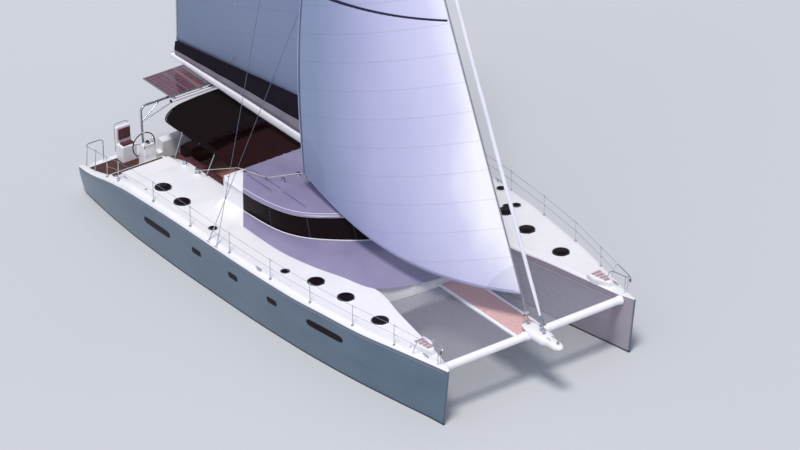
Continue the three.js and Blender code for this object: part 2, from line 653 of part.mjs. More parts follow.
function helmConsole(side) {
  const corners = [[-1, -1], [1, -1], [1, 1], [-1, 1]];
  const rings = CONSOLE.map(([z, halfX, halfY]) => corners.map(([sx, sy]) =>
    new THREE.Vector3(HELM.x + sx * halfX, side * HELM.y + sy * halfY, z)));
  const axle = rod([HELM.x, side * HELM.y, HELM.axle],
    [HELM.x - HELM_AXLE.reach, side * HELM.y, HELM.axle], HELM_AXLE.radius);
  return loft(rings, seenFromAbove).add(axle);
}

function wheel(side) {
  const rim = new THREE.TorusGeometry(HELM.wheel, HELM.rim, 6, 28);
  rim.rotateY(Math.PI / 2);
  const y = side * HELM.y;
  const x = HELM.x - HELM_AXLE.reach - GAP - HELM_AXLE.bossHalf;
  rim.translate(x, y, HELM.axle);
  const spokes = Array.from({ length: HELM.spokes }, (_, i) => {
    const turn = Math.PI / 2 + (i * 2 * Math.PI) / HELM.spokes;
    const end = [x, y + HELM.wheel * Math.cos(turn), HELM.axle + HELM.wheel * Math.sin(turn)];
    return rod([x, y, HELM.axle], end, HELM.spoke, 6);
  });
  const boss = rod([x - HELM_AXLE.bossHalf, y, HELM.axle], [x + HELM_AXLE.bossHalf, y, HELM.axle],
    HELM_AXLE.boss);
  return joined([solid(rim), boss, ...spokes]);
}

function helmSeat(side) {
  const [near, far] = [HELM.y - SEAT.half, HELM.y + SEAT.half];
  const base = sideBox(side, SEAT.back, SEAT.front, near, far, PLATFORM.top + GAP, SEAT.top);
  return base.add(sideBox(side, SEAT.aft, SEAT.back, near, far, SEAT.backLow, SEAT.backTop));
}

for (const [name, side] of SIDES) {
  place(`helm_console_${name}`, helmConsole(side), GELCOAT);
  place(`steering_wheel_${name}`, wheel(side), STEEL);
  place(`helm_seat_${name}`, helmSeat(side), GELCOAT);
}

// Awning over the cockpit, on a bowed frame whose posts stand on the side decks
const AWNING_SIZE = { front: -3060, aft: -7660, half: 2100, edge: 2620, crown: 2800, thick: 30 };
const AWNING_BAY = { aft: -5300, front: -4700, half: 1900 };
// Each aft corner is rounded off along a quarter of an ellipse about this point
const AWNING_CORNER = { x: -7050, y: 1150, steps: 8 };
const POST = { y: 2380, radius: 22, low: 1600, stations: [-6300, -4600] };
const BOW = 40; // square section of the bows
const FREE_BOWS = [-7050, -5400]; // x of each bow that stands on the side rails alone
// Side rail under the awning's edges: y and z measured inward and down from the edge
const SIDE_RAIL = { aft: -7070, front: -4580, far: 20, near: 60, low: 75, high: 40 };

function arcOutline(half, edge, crown, thick) {
  const steps = 8;
  const over = Array.from({ length: steps + 1 }, (_, i) => {
    const y = -half + (2 * half * i) / steps;
    return [y, edge + (crown - edge) * (1 - (y / half) ** 2)];
  });
  const under = [...over].reverse().map(([y, z]) => [y, z - thick]);
  return [...over, ...under];
}

// What is cut off a corner of the awning, seen from above: outside the rounded edge from its side to its aft end
function cornerCut(side) {
  const { aft, half, edge, crown, thick } = AWNING_SIZE;
  const { x, y, steps } = AWNING_CORNER;
  const arc = Array.from({ length: steps + 1 }, (_, i) => {
    const turn = (Math.PI / 2) * (1 - i / steps);
    return [x + (aft - x) * Math.cos(turn), side * (y + (half - y) * Math.sin(turn))];
  });
  return raised([[x, side * (half + thick)], ...arc, [aft - thick, side * y], [aft - thick, side * (half + thick)]],
    edge - 2 * thick, crown + thick);
}

function frame() {
  const { half, edge, crown, thick } = AWNING_SIZE;
  const bows = [...POST.stations, ...FREE_BOWS].map((x) =>
    along(arcOutline(half, edge - thick - GAP, crown - thick - GAP, BOW), x - BOW / 2, x + BOW / 2));
  const legs = POST.stations.flatMap((x) => SIDES.map(([name, side]) => {
    const head = [x, side * (half - 30), edge - 55];
    return trimmed(rod([x, side * POST.y, POST.low], head, POST.radius), hulls[name], [0, 0, 1]);
  }));
  const { aft, front, far, near, low, high } = SIDE_RAIL;
  const rails = SIDES.map(([, side]) =>
    sideBox(side, aft, front, half - near, half - far, edge - low, edge - high));
  return joined([...bows, ...legs, ...rails]);
}

function awning() {
  const { half, edge, crown, thick, aft, front } = AWNING_SIZE;
  const bay = box(AWNING_BAY.aft, AWNING_BAY.front, -AWNING_BAY.half, AWNING_BAY.half,
    edge - 2 * thick, crown + thick);
  const cloth = along(arcOutline(half, edge, crown, thick), aft, front).subtract(bay);
  return SIDES.reduce((left, [, side]) => left.subtract(cornerCut(side)), cloth);
}
place("awning_frame", frame(), STEEL);
place("awning", awning(), AWNING);

// Stern arch. It carries two solar panels, and in front of them the beam of the mainsheet traveller
const ARCH = { foot: -7950, low: 800, x: -8100, y: 2380, z: 2800, radius: 38 };
const PANELS = { aft: -9370, front: -7850, near: 15, far: 1420, bottom: 2895, thick: 35, tie: 40 };
const TRAVELLER = { aft: -7800, front: -7700, half: 1500, bottom: 2810, top: 2890 };
const ARCH_RAILS = [-1300, -300, 300, 1300]; // y of each rail under the panels
const ARCH_RAIL = { half: 25, low: 10, lap: 20, short: 40 };

function arch() {
  const beam = rod([ARCH.x, -ARCH.y, ARCH.z], [ARCH.x, ARCH.y, ARCH.z], ARCH.radius);
  const legs = SIDES.map(([name, side]) => trimmed(
    rod([ARCH.foot, side * ARCH.y, ARCH.low], [ARCH.x, side * ARCH.y, ARCH.z + ARCH_RAIL.lap], ARCH.radius),
    hulls[name], [0, 0, 1]));
  const { aft, front, half, bottom, top } = TRAVELLER;
  const rails = ARCH_RAILS.map((y) => box(PANELS.aft + ARCH_RAIL.short, aft + ARCH_RAIL.lap,
    y - ARCH_RAIL.half, y + ARCH_RAIL.half, ARCH.z + ARCH_RAIL.low, PANELS.bottom - GAP));
  return joined([beam, ...legs, ...rails, box(aft, front, -half, half, bottom, top)]);
}

function panels() {
  const { aft, front, near, far, bottom, thick, tie } = PANELS;
  const pair = SIDES.map(([, side]) => sideBox(side, aft, front, near, far, bottom, bottom + thick));
  const ties = [[aft, aft + tie], [front - tie, front]].map(([x0, x1]) =>
    box(x0, x1, -near - tie / 4, near + tie / 4, bottom, bottom + thick));
  return joined([...pair, ...ties]);
}
place("stern_arch", arch(), ALLOY);
place("solar_panels", panels(), CELLS);

// Forward crossbeam, walkway, sprit and nets
function crossbeam() {
  const tube = rod([BEAM.x, -BEAM.reach, BEAM.z], [BEAM.x, BEAM.reach, BEAM.z], BEAM.radius, 20);
  return trimmed(trimmed(tube, hulls.starboard, [0, 1, 0]), hulls.port, [0, -1, 0]);
}

function walkway(beamBody) {
  const { aft, half, top, thick } = WALKWAY;
  const board = box(aft, BEAM.x, -half, half, top - thick, top);
  const spine = box(aft, BEAM.x, -130, 130, top - 300, top - thick / 2);
  const whole = board.add(spine);
  const clearAft = trimmed(whole, bridgedeckBody, [1, 0, 0]);
  return trimmed(clearAft, beamBody, [-1, 0, 0]).trimByPlane([-1, 0, 0], -BEAM.x + 60);
}

// Sprit sections. Columns: x, half width, bottom z, top z
const SPRIT_SECTIONS = [
  [8080, 150, 1880, 1930],
  [8300, 230, 1840, 1975],
  [8700, 270, 1700, 1990],
  [9050, 255, 1690, 1985],
  [9300, 170, 1730, 1945],
  [9550, 165, 1740, 1935],
  [9720, 110, 1780, 1905],
  [9780, 40, 1820, 1865],
];

function roundedRing(x, half, low, high) {
  const middle = (low + high) / 2;
  const rise = (high - low) / 2;
  return Array.from({ length: 16 }, (_, i) => {
    const turn = (i * 2 * Math.PI) / 16;
    const square = (v) => Math.sign(v) * Math.abs(v) ** 0.7;
    return new THREE.Vector3(x, half * square(Math.cos(turn)), middle + rise * square(Math.sin(turn)));
  });
}

function sprit(beamBody) {
  const pod = loft(SPRIT_SECTIONS.map((row) => roundedRing(...row)), seenFromFront);
  const feet = [INNER_STAY, OUTER_STAY].flatMap(({ foot, head }) => [
    toggle(foot, head), rod([foot[0], foot[1], 1900], foot, 14)]);
  return trimmed(trimmed(joined([pod, ...feet]), beamBody, [0, 0, 1]), beamBody, [1, 0, 0]);
}

function net(side, carriers) {
  const near = WALKWAY.half + GAP;
  const outline = [[3930, near], [3930, 2350], [4100, 2500], [8480, 3300], [8480, near]];
  let body = raised(outline.map(([x, y]) => [x, side * y]), NET_TOP - NET_THICK, NET_TOP);
  for (const [carrier, shift] of carriers) body = trimmed(body, carrier, shift);
  return body.trimByPlane([-1, 0, 0], -(BEAM.x - 20));
}

const beamBody = place("crossbeam", crossbeam(), GELCOAT);
place("walkway", walkway(beamBody), TEAK);
place("sprit", sprit(beamBody), GELCOAT);
for (const [name, side] of SIDES) {
  const carriers = [[hulls[name], [0, -side, 0]], [beamBody, [-1, 0, 0]], [bridgedeckBody, [1, 0, 0]]];
  place(`net_${name}`, net(side, carriers), NET);
}

// Mast, spreaders and standing rigging
function mast() {
  const section = Array.from({ length: 16 }, (_, i) => {
    const turn = (i * 2 * Math.PI) / 16;
    return [MAST.x + MAST.chord * Math.cos(turn), MAST.half * Math.sin(turn)];
  });
  const tube = raised(section, ROOF_TOP + GAP, MAST.top);
  const plate = raised(section.map(([x, y]) => [x * 1.35, y * 1.6]), ROOF_TOP + GAP, ROOF_TOP + 40);
  const arms = SIDES.flatMap(([, side]) => {
    const tip = [SPREADER.x, side * SPREADER.y, SPREADER.z];
    const wires = shrouds(side);
    const forks = wires.flatMap(({ foot, head, onDeck }) => (
      onDeck ? [toggle(head, foot)] : [toggle(head, foot), toggle(foot, head)]));
    const tangs = Object.values(SHROUD_HEADS).map(([x, y, z]) => rod([x, 0, z], [x, side * y, z], 14));
    return [rod([-20, side * 60, SPREADER.z - 60], tip, 50, 10, 22), ...forks, ...tangs];
  });
  const stayHeads = [INNER_STAY, OUTER_STAY].flatMap(({ foot, head }) => [
    toggle(head, foot), rod([0, 0, head[2]], head, 16)]);
  const lugs = [[-LUG_GAP - 40, -LUG_GAP], [LUG_GAP, LUG_GAP + 40]].map(([low, high]) =>
    box(GOOSENECK.x - 45, -100, -45, 45, GOOSENECK.z + low, GOOSENECK.z + high));
  return joined([tube, plate, ...arms, ...stayHeads, ...lugs]);
}

place("mast", mast(), ALLOY);
for (const [name, side] of SIDES) {
  for (const wire of shrouds(side)) {
    place(`${wire.name}_${name}`, stay(wire.foot, wire.head, SHROUD_RADIUS), STEEL);
  }
}

const stayLength = ({ foot, head }) => new THREE.Vector3(...foot).distanceTo(new THREE.Vector3(...head));

// A stay with what is wound or clamped on it, turned from a profile of [radius, distance up the stay].
function turnedStay({ foot, head, radius }, profile, sides) {
  const low = TOGGLE + GAP;
  const high = stayLength({ foot, head }) - low;
  const whole = [[0, low], [radius, low], ...profile, [radius, high], [0, high]];
  const shape = new THREE.LatheGeometry(whole.map(([r, h]) => new THREE.Vector2(r, h)), sides);
  const start = new THREE.Vector3(...foot);
  const direction = new THREE.Vector3(...head).sub(start).normalize();
  shape.applyQuaternion(new THREE.Quaternion().setFromUnitVectors(new THREE.Vector3(0, 1, 0), direction));
  shape.translate(...foot);
  return solid(shape);
}

// Furling drum. Columns: radius, distance up the stay
const DRUM = [[130, 170], [130, 195], [70, 205], [70, 330], [130, 340], [130, 365], [45, 420], [45, 700]];
const SMALL_DRUM = [[105, 160], [105, 180], [60, 190], [60, 290], [105, 300], [105, 320], [35, 360], [35, 430]];

place("forestay_inner", turnedStay(INNER_STAY, [[INNER_STAY.radius, 160], ...DRUM,
  [INNER_STAY.radius, 720]], 12), ALLOY);

function furledSail() {
  const length = stayLength(OUTER_STAY);
  const spindle = [[40, 470], [58, 1500], [64, length * 0.3], [54, length * 0.65], [34, length - 900]];
  return turnedStay(OUTER_STAY, [[OUTER_STAY.radius, 150], ...SMALL_DRUM, [OUTER_STAY.radius, 440],
    [OUTER_STAY.radius, 460], ...spindle, [OUTER_STAY.radius, length - 880]], 12);
}
place("forestay_outer", furledSail(), SAILCLOTH);

// Headsail: a triangle on the inner stay, bellied to starboard, its leech twisting off the same way
const GENOA = { tack: 2780, head: 18300, headWide: 180, thick: 10, belly: 0.085, droop: 420, hollow: 100,
  twist: 1150 };
const CLEW = [-800, -1500, 3450];

function pointOnStay({ foot, head }, z) {
  const share = (z - foot[2]) / (head[2] - foot[2]);
  return [foot[0] + (head[0] - foot[0]) * share, z];
}

function genoaPoint(up, back) {
  const lean = Math.atan2(INNER_STAY.foot[0] - INNER_STAY.head[0], INNER_STAY.head[2] - INNER_STAY.foot[2]);
  const offset = (INNER_STAY.radius + GAP) / Math.cos(lean);
  const [luffX, luffZ] = pointOnStay(INNER_STAY, GENOA.tack + (GENOA.head - GENOA.tack) * up);
  const [headX] = pointOnStay(INNER_STAY, GENOA.head);
  const top = [headX - GENOA.headWide, -GENOA.thick, GENOA.head];
  const leech = CLEW.map((v, i) => v + (top[i] - v) * up);
  leech[1] -= GENOA.twist * Math.sin(Math.PI * up);
  const chord = Math.hypot(leech[0] - luffX, leech[1]);
  const depth = 4 * back * (1 - back) * (1 + 0.6 * (0.5 - back)) * chord * GENOA.belly;
  const droop = GENOA.droop * 4 * back * (1 - back) * (1 - up) ** 6;
  const hollow = Math.sin(Math.PI * up) * GENOA.hollow * back;
  const x = luffX - offset + (leech[0] - (luffX - offset)) * back + hollow;
  return [x, leech[1] * back - depth, luffZ + (leech[2] - luffZ) * back - droop];
}
place("genoa", sheet(genoaPoint, 14, 8, GENOA.thick), SAILCLOTH);

// Boom. Columns: x, half width, bottom z, top z
const BOOM_SECTIONS = [
  [BOOM.front, 90, BOOM.bottom + 40, 3340],
  [-900, 120, BOOM.bottom, 3370],
  [-6000, 120, BOOM.bottom, 3340],
  [BOOM.aft, 90, BOOM.bottom + 50, 3220],
];

function boomTop(x) {
  const tops = BOOM_SECTIONS.map(([at, , , top]) => [at, top]);
  const i = Math.max(1, tops.findIndex(([at]) => at <= x));
  const [[x0, z0], [x1, z1]] = [tops[i - 1], tops[i]];
  return z0 + ((z1 - z0) * (x - x0)) / (x1 - x0);
}

function boom() {
  const spar = loft(BOOM_SECTIONS.map((row) => roundedRing(...row)), seenFromFront);
  const half = LUG_GAP - GAP;
  const tongue = box(BOOM.front - 60, GOOSENECK.x + 35, -35, 35, GOOSENECK.z - half, GOOSENECK.z + half);
  return spar.add(tongue);
}
place("boom", boom(), GELCOAT);

// Stowage bag along the boom. Columns: x, lower half width, upper half width, top z
const BAG_SECTIONS = [
  [-345, 60, 50, 4870],
  [-900, 150, 80, 4820],
  [-3350, 150, 80, 4540],
  [-6000, 140, 80, 4180],
  [-9600, 90, 60, 3690],
];

function bag() {
  const rings = BAG_SECTIONS.map(([x, low, high, top]) => {
    const bottom = boomTop(x) + GAP;
    const middle = (bottom + top) / 2;
    return [[-low, bottom], [low, bottom], [low, middle], [high, top], [-high, top], [-low, middle]]
      .map(([y, z]) => new THREE.Vector3(x, y, z));
  });
  return loft(rings, seenFromFront);
}
const bagBody = place("sail_bag", bag(), BAG_CANVAS);

function bagTop(x) {
  const i = Math.max(1, BAG_SECTIONS.findIndex(([at]) => at <= x));
  const [[x0, , , z0], [x1, , , z1]] = [BAG_SECTIONS[i - 1], BAG_SECTIONS[i]];
  return z0 + ((z1 - z0) * (x - x0)) / (x1 - x0);
}

// Mainsail leech. Columns: z, x
const LEECH = [[3720, -9590], [9000, -9350], [14000, -7900], [18500, -5400], [21300, -2800], [HEAD, -1300]];
const MAINSAIL = { luff: -240, thick: 12, belly: 0.055, rows: 16, columns: 8 };

function mainsailPoint(up, back) {
  const leechCurve = new THREE.CatmullRomCurve3(LEECH.map(([z, x]) => new THREE.Vector3(x, 0, z)));
  const leech = leechCurve.getPointAt(up);
  const footLuff = BAG_SECTIONS[0][3];
  const luffZ = footLuff + (HEAD - footLuff) * up;
  const luffX = MAINSAIL.luff;
  const x = luffX + (leech.x - luffX) * back;
  const depth = 4 * back * (1 - back) * (luffX - leech.x) * MAINSAIL.belly * Math.sin(Math.PI * up) ** 0.5;
  const z = luffZ + (leech.z - luffZ) * back;
  return [x, -depth, z];
}
const mainsailBody = sheet(mainsailPoint, MAINSAIL.rows, MAINSAIL.columns, MAINSAIL.thick);
place("mainsail", trimmed(mainsailBody, bagBody, [0, 0, 1]), SAILCLOTH);

export default catamaran;
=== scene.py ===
"""Sailing catamaran under full sail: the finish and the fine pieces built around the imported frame.

Metres, +X to the bows, +Y to port, +Z up, with the origin on the waterline amidships.
"""
import math

import bmesh
import bpy
import numpy as np
from mathutils import Matrix, Vector
from mathutils.bvhtree import BVHTree


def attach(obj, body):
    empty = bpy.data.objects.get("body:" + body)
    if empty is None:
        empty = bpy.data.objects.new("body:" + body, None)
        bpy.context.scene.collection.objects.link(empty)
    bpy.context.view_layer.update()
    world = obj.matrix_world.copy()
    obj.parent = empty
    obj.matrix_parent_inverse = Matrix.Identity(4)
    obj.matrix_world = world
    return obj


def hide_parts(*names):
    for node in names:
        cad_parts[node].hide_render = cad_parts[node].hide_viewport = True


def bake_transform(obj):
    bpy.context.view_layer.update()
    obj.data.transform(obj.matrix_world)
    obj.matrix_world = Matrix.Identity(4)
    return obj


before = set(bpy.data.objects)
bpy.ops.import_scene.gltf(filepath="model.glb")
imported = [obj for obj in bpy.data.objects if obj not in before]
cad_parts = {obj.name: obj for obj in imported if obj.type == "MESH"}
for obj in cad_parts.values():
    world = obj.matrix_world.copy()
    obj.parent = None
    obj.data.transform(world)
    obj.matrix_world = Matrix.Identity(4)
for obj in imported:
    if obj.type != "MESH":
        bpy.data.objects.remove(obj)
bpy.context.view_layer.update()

SIDES = (("starboard", -1), ("port", 1))
GAP = 0.0003
SMOOTH_ANGLE = math.radians(35)

# Camera: where the photograph was taken from, fitted to the hulls, nets and stays
CAMERA_PLACE = Vector((123.94, -88.96, 87.82))
BACK = Vector((0.70404, -0.50535, 0.49892))
ROLL = math.radians(-0.7)
PHOTO_SIZE = (800, 450)
FOCAL = 5887
PRINCIPAL = (361.145, 269.156)
SENSOR = 36

# Hulls. Columns: x at deck level, keel z, sheer z, deck z, then |y| of the outer sheer, outer waterline,
# inner waterline and inner sheer, and how far the waterline lies aft of the deck point
HULL_SECTIONS = np.array([
    [-8.86, -0.12, 1.00, 1.02, 4.20, 3.96, 2.80, 2.30, 0],
    [-8.00, -0.28, 1.17, 1.24, 4.36, 4.08, 2.70, 2.30, 0],
    [-6.60, -0.43, 1.55, 1.70, 4.55, 4.23, 2.56, 2.30, 0],
    [-5.40, -0.51, 1.73, 1.95, 4.61, 4.31, 2.48, 2.30, 0],
    [-3.00, -0.59, 1.79, 1.95, 4.575, 4.36, 2.43, 2.30, 0],
    [0.00, -0.62, 1.80, 1.95, 4.545, 4.33, 2.43, 2.30, 0],
    [2.50, -0.60, 1.81, 1.95, 4.45, 4.22, 2.51, 2.30, 0],
    [4.10, -0.57, 1.82, 1.95, 4.27, 4.08, 2.63, 2.30, 0],
    [5.50, -0.52, 1.83, 1.95, 4.10, 3.90, 2.81, 2.59, 0],
    [7.00, -0.45, 1.85, 1.94, 3.79, 3.66, 3.05, 2.87, 0.02],
    [8.30, -0.35, 1.865, 1.915, 3.51, 3.45, 3.27, 3.13, 0.09],
    [8.90, -0.30, 1.88, 1.90, 3.40, 3.395, 3.345, 3.34, 0.25],
])
KEEL, SHEER, DECK, OUT_SHEER, OUT_WATER, IN_WATER, IN_SHEER, RAKE = range(1, 9)
STERN, STEM = HULL_SECTIONS[0, 0], HULL_SECTIONS[-1, 0]
DECK_TOP = 1.95
# |y| of the hulls' inner sheer, as far forward as the bridgedeck goes
HULL_INNER = 2.30
# x of the rudder stocks, |y| of everything under the hulls, and z of the propeller shafts
RUDDER_X, FIN_Y, DRIVE_Z = -7.75, 3.375, -0.95

# Stern steps, from the deck down. Columns: front x, top z
STEPS = ((-6.60, 1.55), (-7.05, 1.25), (-7.50, 0.95))
# |y| of the rim outside the steps, at the first of them and at the stern
STEP_RIM = (4.40, 4.06)

# Round deck hatches. Columns: name, x, |y|
HATCHES = (("aft", -4.79, 3.83), ("quarter", -3.71, 3.88), ("middle", 2.56, 3.46),
           ("fore", 3.82, 3.30), ("bow", 5.49, 3.29))
HATCH_RADIUS = 0.26

# Deckhouse half outlines seen from above. Columns: x, |y|
HOUSE_BASE = ((-2.9, 3.25), (-1.4, 3.28), (0.5, 3.26), (1.8, 3.02), (2.8, 2.7), (3.9, 2.34), (4.43, 1.25),
              (4.6, 0))
WINDOW_FOOT = ((-2.9, 2.92), (-2.0, 2.90), (-0.75, 2.83), (-0.05, 2.68), (0.55, 2.36), (1.35, 1.55),
               (1.85, 0.8), (2.05, 0))
WINDOW_HEAD = ((-2.9, 2.92), (-1.95, 2.92), (-0.85, 2.82), (-0.05, 2.60), (0.45, 2.28), (1.05, 1.55),
               (1.45, 0.8), (1.6, 0))
# Foot and head of the window band, and the two faces of the aft bulkhead
SILL, EAVES = 2.13, 2.78
BULKHEAD = (-2.87, -2.81)
SALOON_SOLE, COCKPIT_SOLE = 0.95, 1.05

# Rig: half length and half width of the mast's section, then places as x, |y| and z
MAST_CHORD, MAST_HALF = 0.17, 0.10
GOOSENECK_Z = 3.2
# x of the mainsheet, on the traveller and on the boom
SHEET_X = -7.75
SPREADER_TIP = (-0.95, 1.95, 13.3)
LOWER_HEAD = (-0.04, 0.13, 13.0)
# x of the cap shroud's chainplate and of the lower shroud's
CHAINPLATES = (-1.0, -1.4)
CHAINPLATE_Y, CHAINPLATE_Z = 4.5, 1.905
# Foot and head of each forestay
INNER_STAY = (Vector((8.23, 0, 2.06)), Vector((0.19, 0, 19.7)))
OUTER_STAY = (Vector((8.96, 0, 2.06)), Vector((0.19, 0, 20.9)))
BEAM_X, BEAM_Z, BEAM_RADIUS = 8.45, 1.75, 0.12
NET_TOP, NET_SAG = 1.712, 0.05


# Colours and finishes
def linear(hexcode):
    """An sRGB colour written as hex, turned to the linear colour that shaders take."""
    parts = [int(hexcode[i:i + 2], 16) / 255 for i in (1, 3, 5)]
    return tuple(p / 12.92 if p <= 0.04045 else ((p + 0.055) / 1.055) ** 2.4 for p in parts) + (1,)


def add(tree, kind, settings=None, links=None):
    """Adds a node, sets its inputs and properties by name, and links outputs to its inputs."""
    made = tree.nodes.new(kind)
    for name, value in (settings or {}).items():
        if isinstance(name, int) or name in made.inputs:
            made.inputs[name].default_value = value
        else:
            setattr(made, name, value)
    for name, output in (links or {}).items():
        tree.links.new(output, made.inputs[name])
    return made


def blank(name, **shader_settings):
    """A new material with one shader, and the tree and the shader to build on."""
    made = bpy.data.materials.new(name)
    made.use_nodes = True
    tree = made.node_tree
    tree.nodes.clear()
    settings = {key.replace("_", " "): value for key, value in shader_settings.items()}
    shader = add(tree, "ShaderNodeBsdfPrincipled", settings)
    add(tree, "ShaderNodeOutputMaterial", links={"Surface": shader.outputs[0]})
    return made, tree, shader


def place_in_metres(tree, scale=(1, 1, 1)):
    """Coordinates on the piece, scaled so that one pattern step is one real size."""
    coordinates = add(tree, "ShaderNodeTexCoord")
    mapping = add(tree, "ShaderNodeMapping", {"Scale": scale}, {"Vector": coordinates.outputs["Object"]})
    return mapping.outputs[0]


def mottled(tree, shader, low, high, vector, detail=4.0, scale=1.0):
    """Lets the colour drift between two tones, as sun, salt and handling leave it."""
    noise = add(tree, "ShaderNodeTexNoise", {"Scale": scale, "Detail": detail}, {"Vector": vector})
    ramp = add(tree, "ShaderNodeMix", {"data_type": "RGBA", 6: linear(low), 7: linear(high)},
               {0: noise.outputs["Fac"]})
    tree.links.new(ramp.outputs[2], shader.inputs["Base Color"])
    return noise, ramp


def raised_by(tree, shader, height, depth):
    """Bump of a real depth, in metres, on the shader's normal."""
    bump = add(tree, "ShaderNodeBump", {"Strength": 1.0, "Distance": depth}, {"Height": height})
    tree.links.new(bump.outputs[0], shader.inputs["Normal"])


def rough_between(tree, shader, value, low, high):
    span = add(tree, "ShaderNodeMapRange", {"To Min": low, "To Max": high}, {"Value": value})
    tree.links.new(span.outputs[0], shader.inputs["Roughness"])


def place_axes(tree):
    """The x, y and z of a place on the piece, in metres."""
    coordinates = add(tree, "ShaderNodeTexCoord")
    return add(tree, "ShaderNodeSeparateXYZ", links={0: coordinates.outputs["Object"]}).outputs


def lines_across(tree, along, step, share):
    """A mask of lines, one at each step along an axis, each covering a share of the step."""
    steps = add(tree, "ShaderNodeMath", {"operation": "MULTIPLY", 1: 1 / step}, {0: along})
    wrap = add(tree, "ShaderNodeMath", {"operation": "FRACT"}, {0: steps.outputs[0]})
    return add(tree, "ShaderNodeMath", {"operation": "LESS_THAN", 1: share}, {0: wrap.outputs[0]}).outputs[0]


def either(tree, masks):
    """Where any of several masks is on."""
    whole = masks[0]
    for mask in masks[1:]:
        whole = add(tree, "ShaderNodeMath", {"operation": "MAXIMUM"}, {0: whole, 1: mask}).outputs[0]
    return whole


def painted_over(tree, shader, under, layers):
    """Lays flat colours over a tone, each through its mask, and gives the result to the shader."""
    for mask, colour in layers:
        mix = add(tree, "ShaderNodeMix", {"data_type": "RGBA", 7: linear(colour)}, {0: mask, 6: under})
        under = mix.outputs[2]
    tree.links.new(under, shader.inputs["Base Color"])


# Polished gelcoat on a moulded glass laminate: bright, with the slow ripple of a hand-faired mould.
def make_gelcoat(name="gelcoat_polished", low="#e6e9ee", high="#f8f9fb"):
    made, tree, shader = blank(name, Roughness=0.32, IOR=1.52, Coat_Weight=0.25, Coat_Roughness=0.12)
    vector = place_in_metres(tree, (1 / 0.9,) * 3)
    noise, _ = mottled(tree, shader, low, high, vector)
    rough_between(tree, shader, noise.outputs["Fac"], 0.24, 0.42)
    raised_by(tree, shader, noise.outputs["Fac"], 0.004)
    return made


# The same gelcoat on the hulls' sides, in painted shade: the white sides drawn grey-blue outside and lavender
# grey between the hulls, with dark bottom paint below the boot top.
BOOT_TOP = 0.06
# |y| of each hull's stem, which parts its outer side from the side under the bridgedeck
STEM_Y = FIN_Y


def make_hull_gelcoat():
    made, tree, shader = blank("gelcoat_topsides_painted_shade", Roughness=0.3, IOR=1.52, Coat_Weight=0.3,
                               Coat_Roughness=0.1)
    vector = place_in_metres(tree, (1 / 1.4, 1 / 1.4, 1 / 0.5))
    # Painted shade: grey-blue stands for the shade on the white outer sides.
    noise, tone = mottled(tree, shader, "#465d72", "#5e7588", vector)
    _, across, height = place_axes(tree)
    below = add(tree, "ShaderNodeMath", {"operation": "LESS_THAN", 1: BOOT_TOP}, {0: height}).outputs[0]
    distance = add(tree, "ShaderNodeMath", {"operation": "ABSOLUTE"}, {0: across})
    # Painted shade and reflection: lavender grey on the sides that face each other.
    inside = add(tree, "ShaderNodeMapRange", {"From Min": STEM_Y - 0.02, "From Max": STEM_Y - 0.05},
                 {"Value": distance.outputs[0]})
    painted_over(tree, shader, tone.outputs[2], ((inside.outputs[0], "#a59ca8"), (below, "#20303c")))
    rough_between(tree, shader, below, 0.3, 0.85)
    raised_by(tree, shader, noise.outputs["Fac"], 0.006)
    return made


# Moulded non-slip deck: matt and stippled. Real stipple is about 4 mm, drawn at 25 mm so that it shows.
def make_nonslip():
    made, tree, shader = blank("gelcoat_nonslip", Roughness=0.72, IOR=1.5)
    vector = place_in_metres(tree)
    mottled(tree, shader, "#e3e5e8", "#f1f2f4", vector, scale=1.3)
    stipple = add(tree, "ShaderNodeTexVoronoi", {"Scale": 1 / 0.025}, {"Vector": vector})
    raised_by(tree, shader, stipple.outputs["Distance"], 0.0015)
    return made


# Smoked acrylic: near black with a maroon cast, hard and glossy, with faint wiping haze.
def make_acrylic():
    made, tree, shader = blank("acrylic_smoked", IOR=1.49, Specular_IOR_Level=0.1)
    vector = place_in_metres(tree, (1 / 0.6,) * 3)
    noise, _ = mottled(tree, shader, "#0d0407", "#180a0f", vector)
    rough_between(tree, shader, noise.outputs["Fac"], 0.12, 0.26)
    return made


# Oiled teak planks 60 mm wide, laid fore and aft with black caulking, bleached pinkish by salt.
PLANK = 0.06
CAULK = 0.1


def make_teak(name="teak_planked", low="#8a5f50", high="#b98f80"):
    made, tree, shader = blank(name, Roughness=0.62, IOR=1.45)
    grain = place_in_metres(tree, (1 / 0.35, 1 / 0.012, 1 / 0.05))
    noise, tone = mottled(tree, shader, low, high, grain, detail=6)
    seam = lines_across(tree, place_axes(tree)[1], PLANK, CAULK)
    painted_over(tree, shader, tone.outputs[2], ((seam, "#2a2021"),))
    rough_between(tree, shader, noise.outputs["Fac"], 0.5, 0.75)
    raised_by(tree, shader, noise.outputs["Fac"], 0.001)
    return made


# Woven cloth of any colour. Real threads are under 1 mm, drawn as coarse as `thread` so that they show.
def make_cloth(name, low, high, thread, depth, sheen=0.0):
    made, tree, shader = blank(name, Roughness=0.9, IOR=1.45, Specular_IOR_Level=0.2, Sheen_Weight=sheen,
                               Sheen_Roughness=0.5)
    mottled(tree, shader, low, high, place_in_metres(tree, (1 / 0.5,) * 3), detail=5)
    weave = []
    for way in ("X", "Z"):
        bands = {"Scale": 1 / thread, "bands_direction": way, "Distortion": 0.6}
        wave = add(tree, "ShaderNodeTexWave", bands, {"Vector": place_in_metres(tree)})
        weave.append(wave.outputs["Fac"])
    raised_by(tree, shader, either(tree, weave), depth)
    return made


# Polyester sailcloth: hard-pressed, in panels about 0.9 m wide with stitched seams, and laid double round
# each corner. Its tones are painted light and shade: lavender white at the luff where light comes through,
# bluer and darker towards the leech.
PANEL = 0.92
SEAM = 0.03


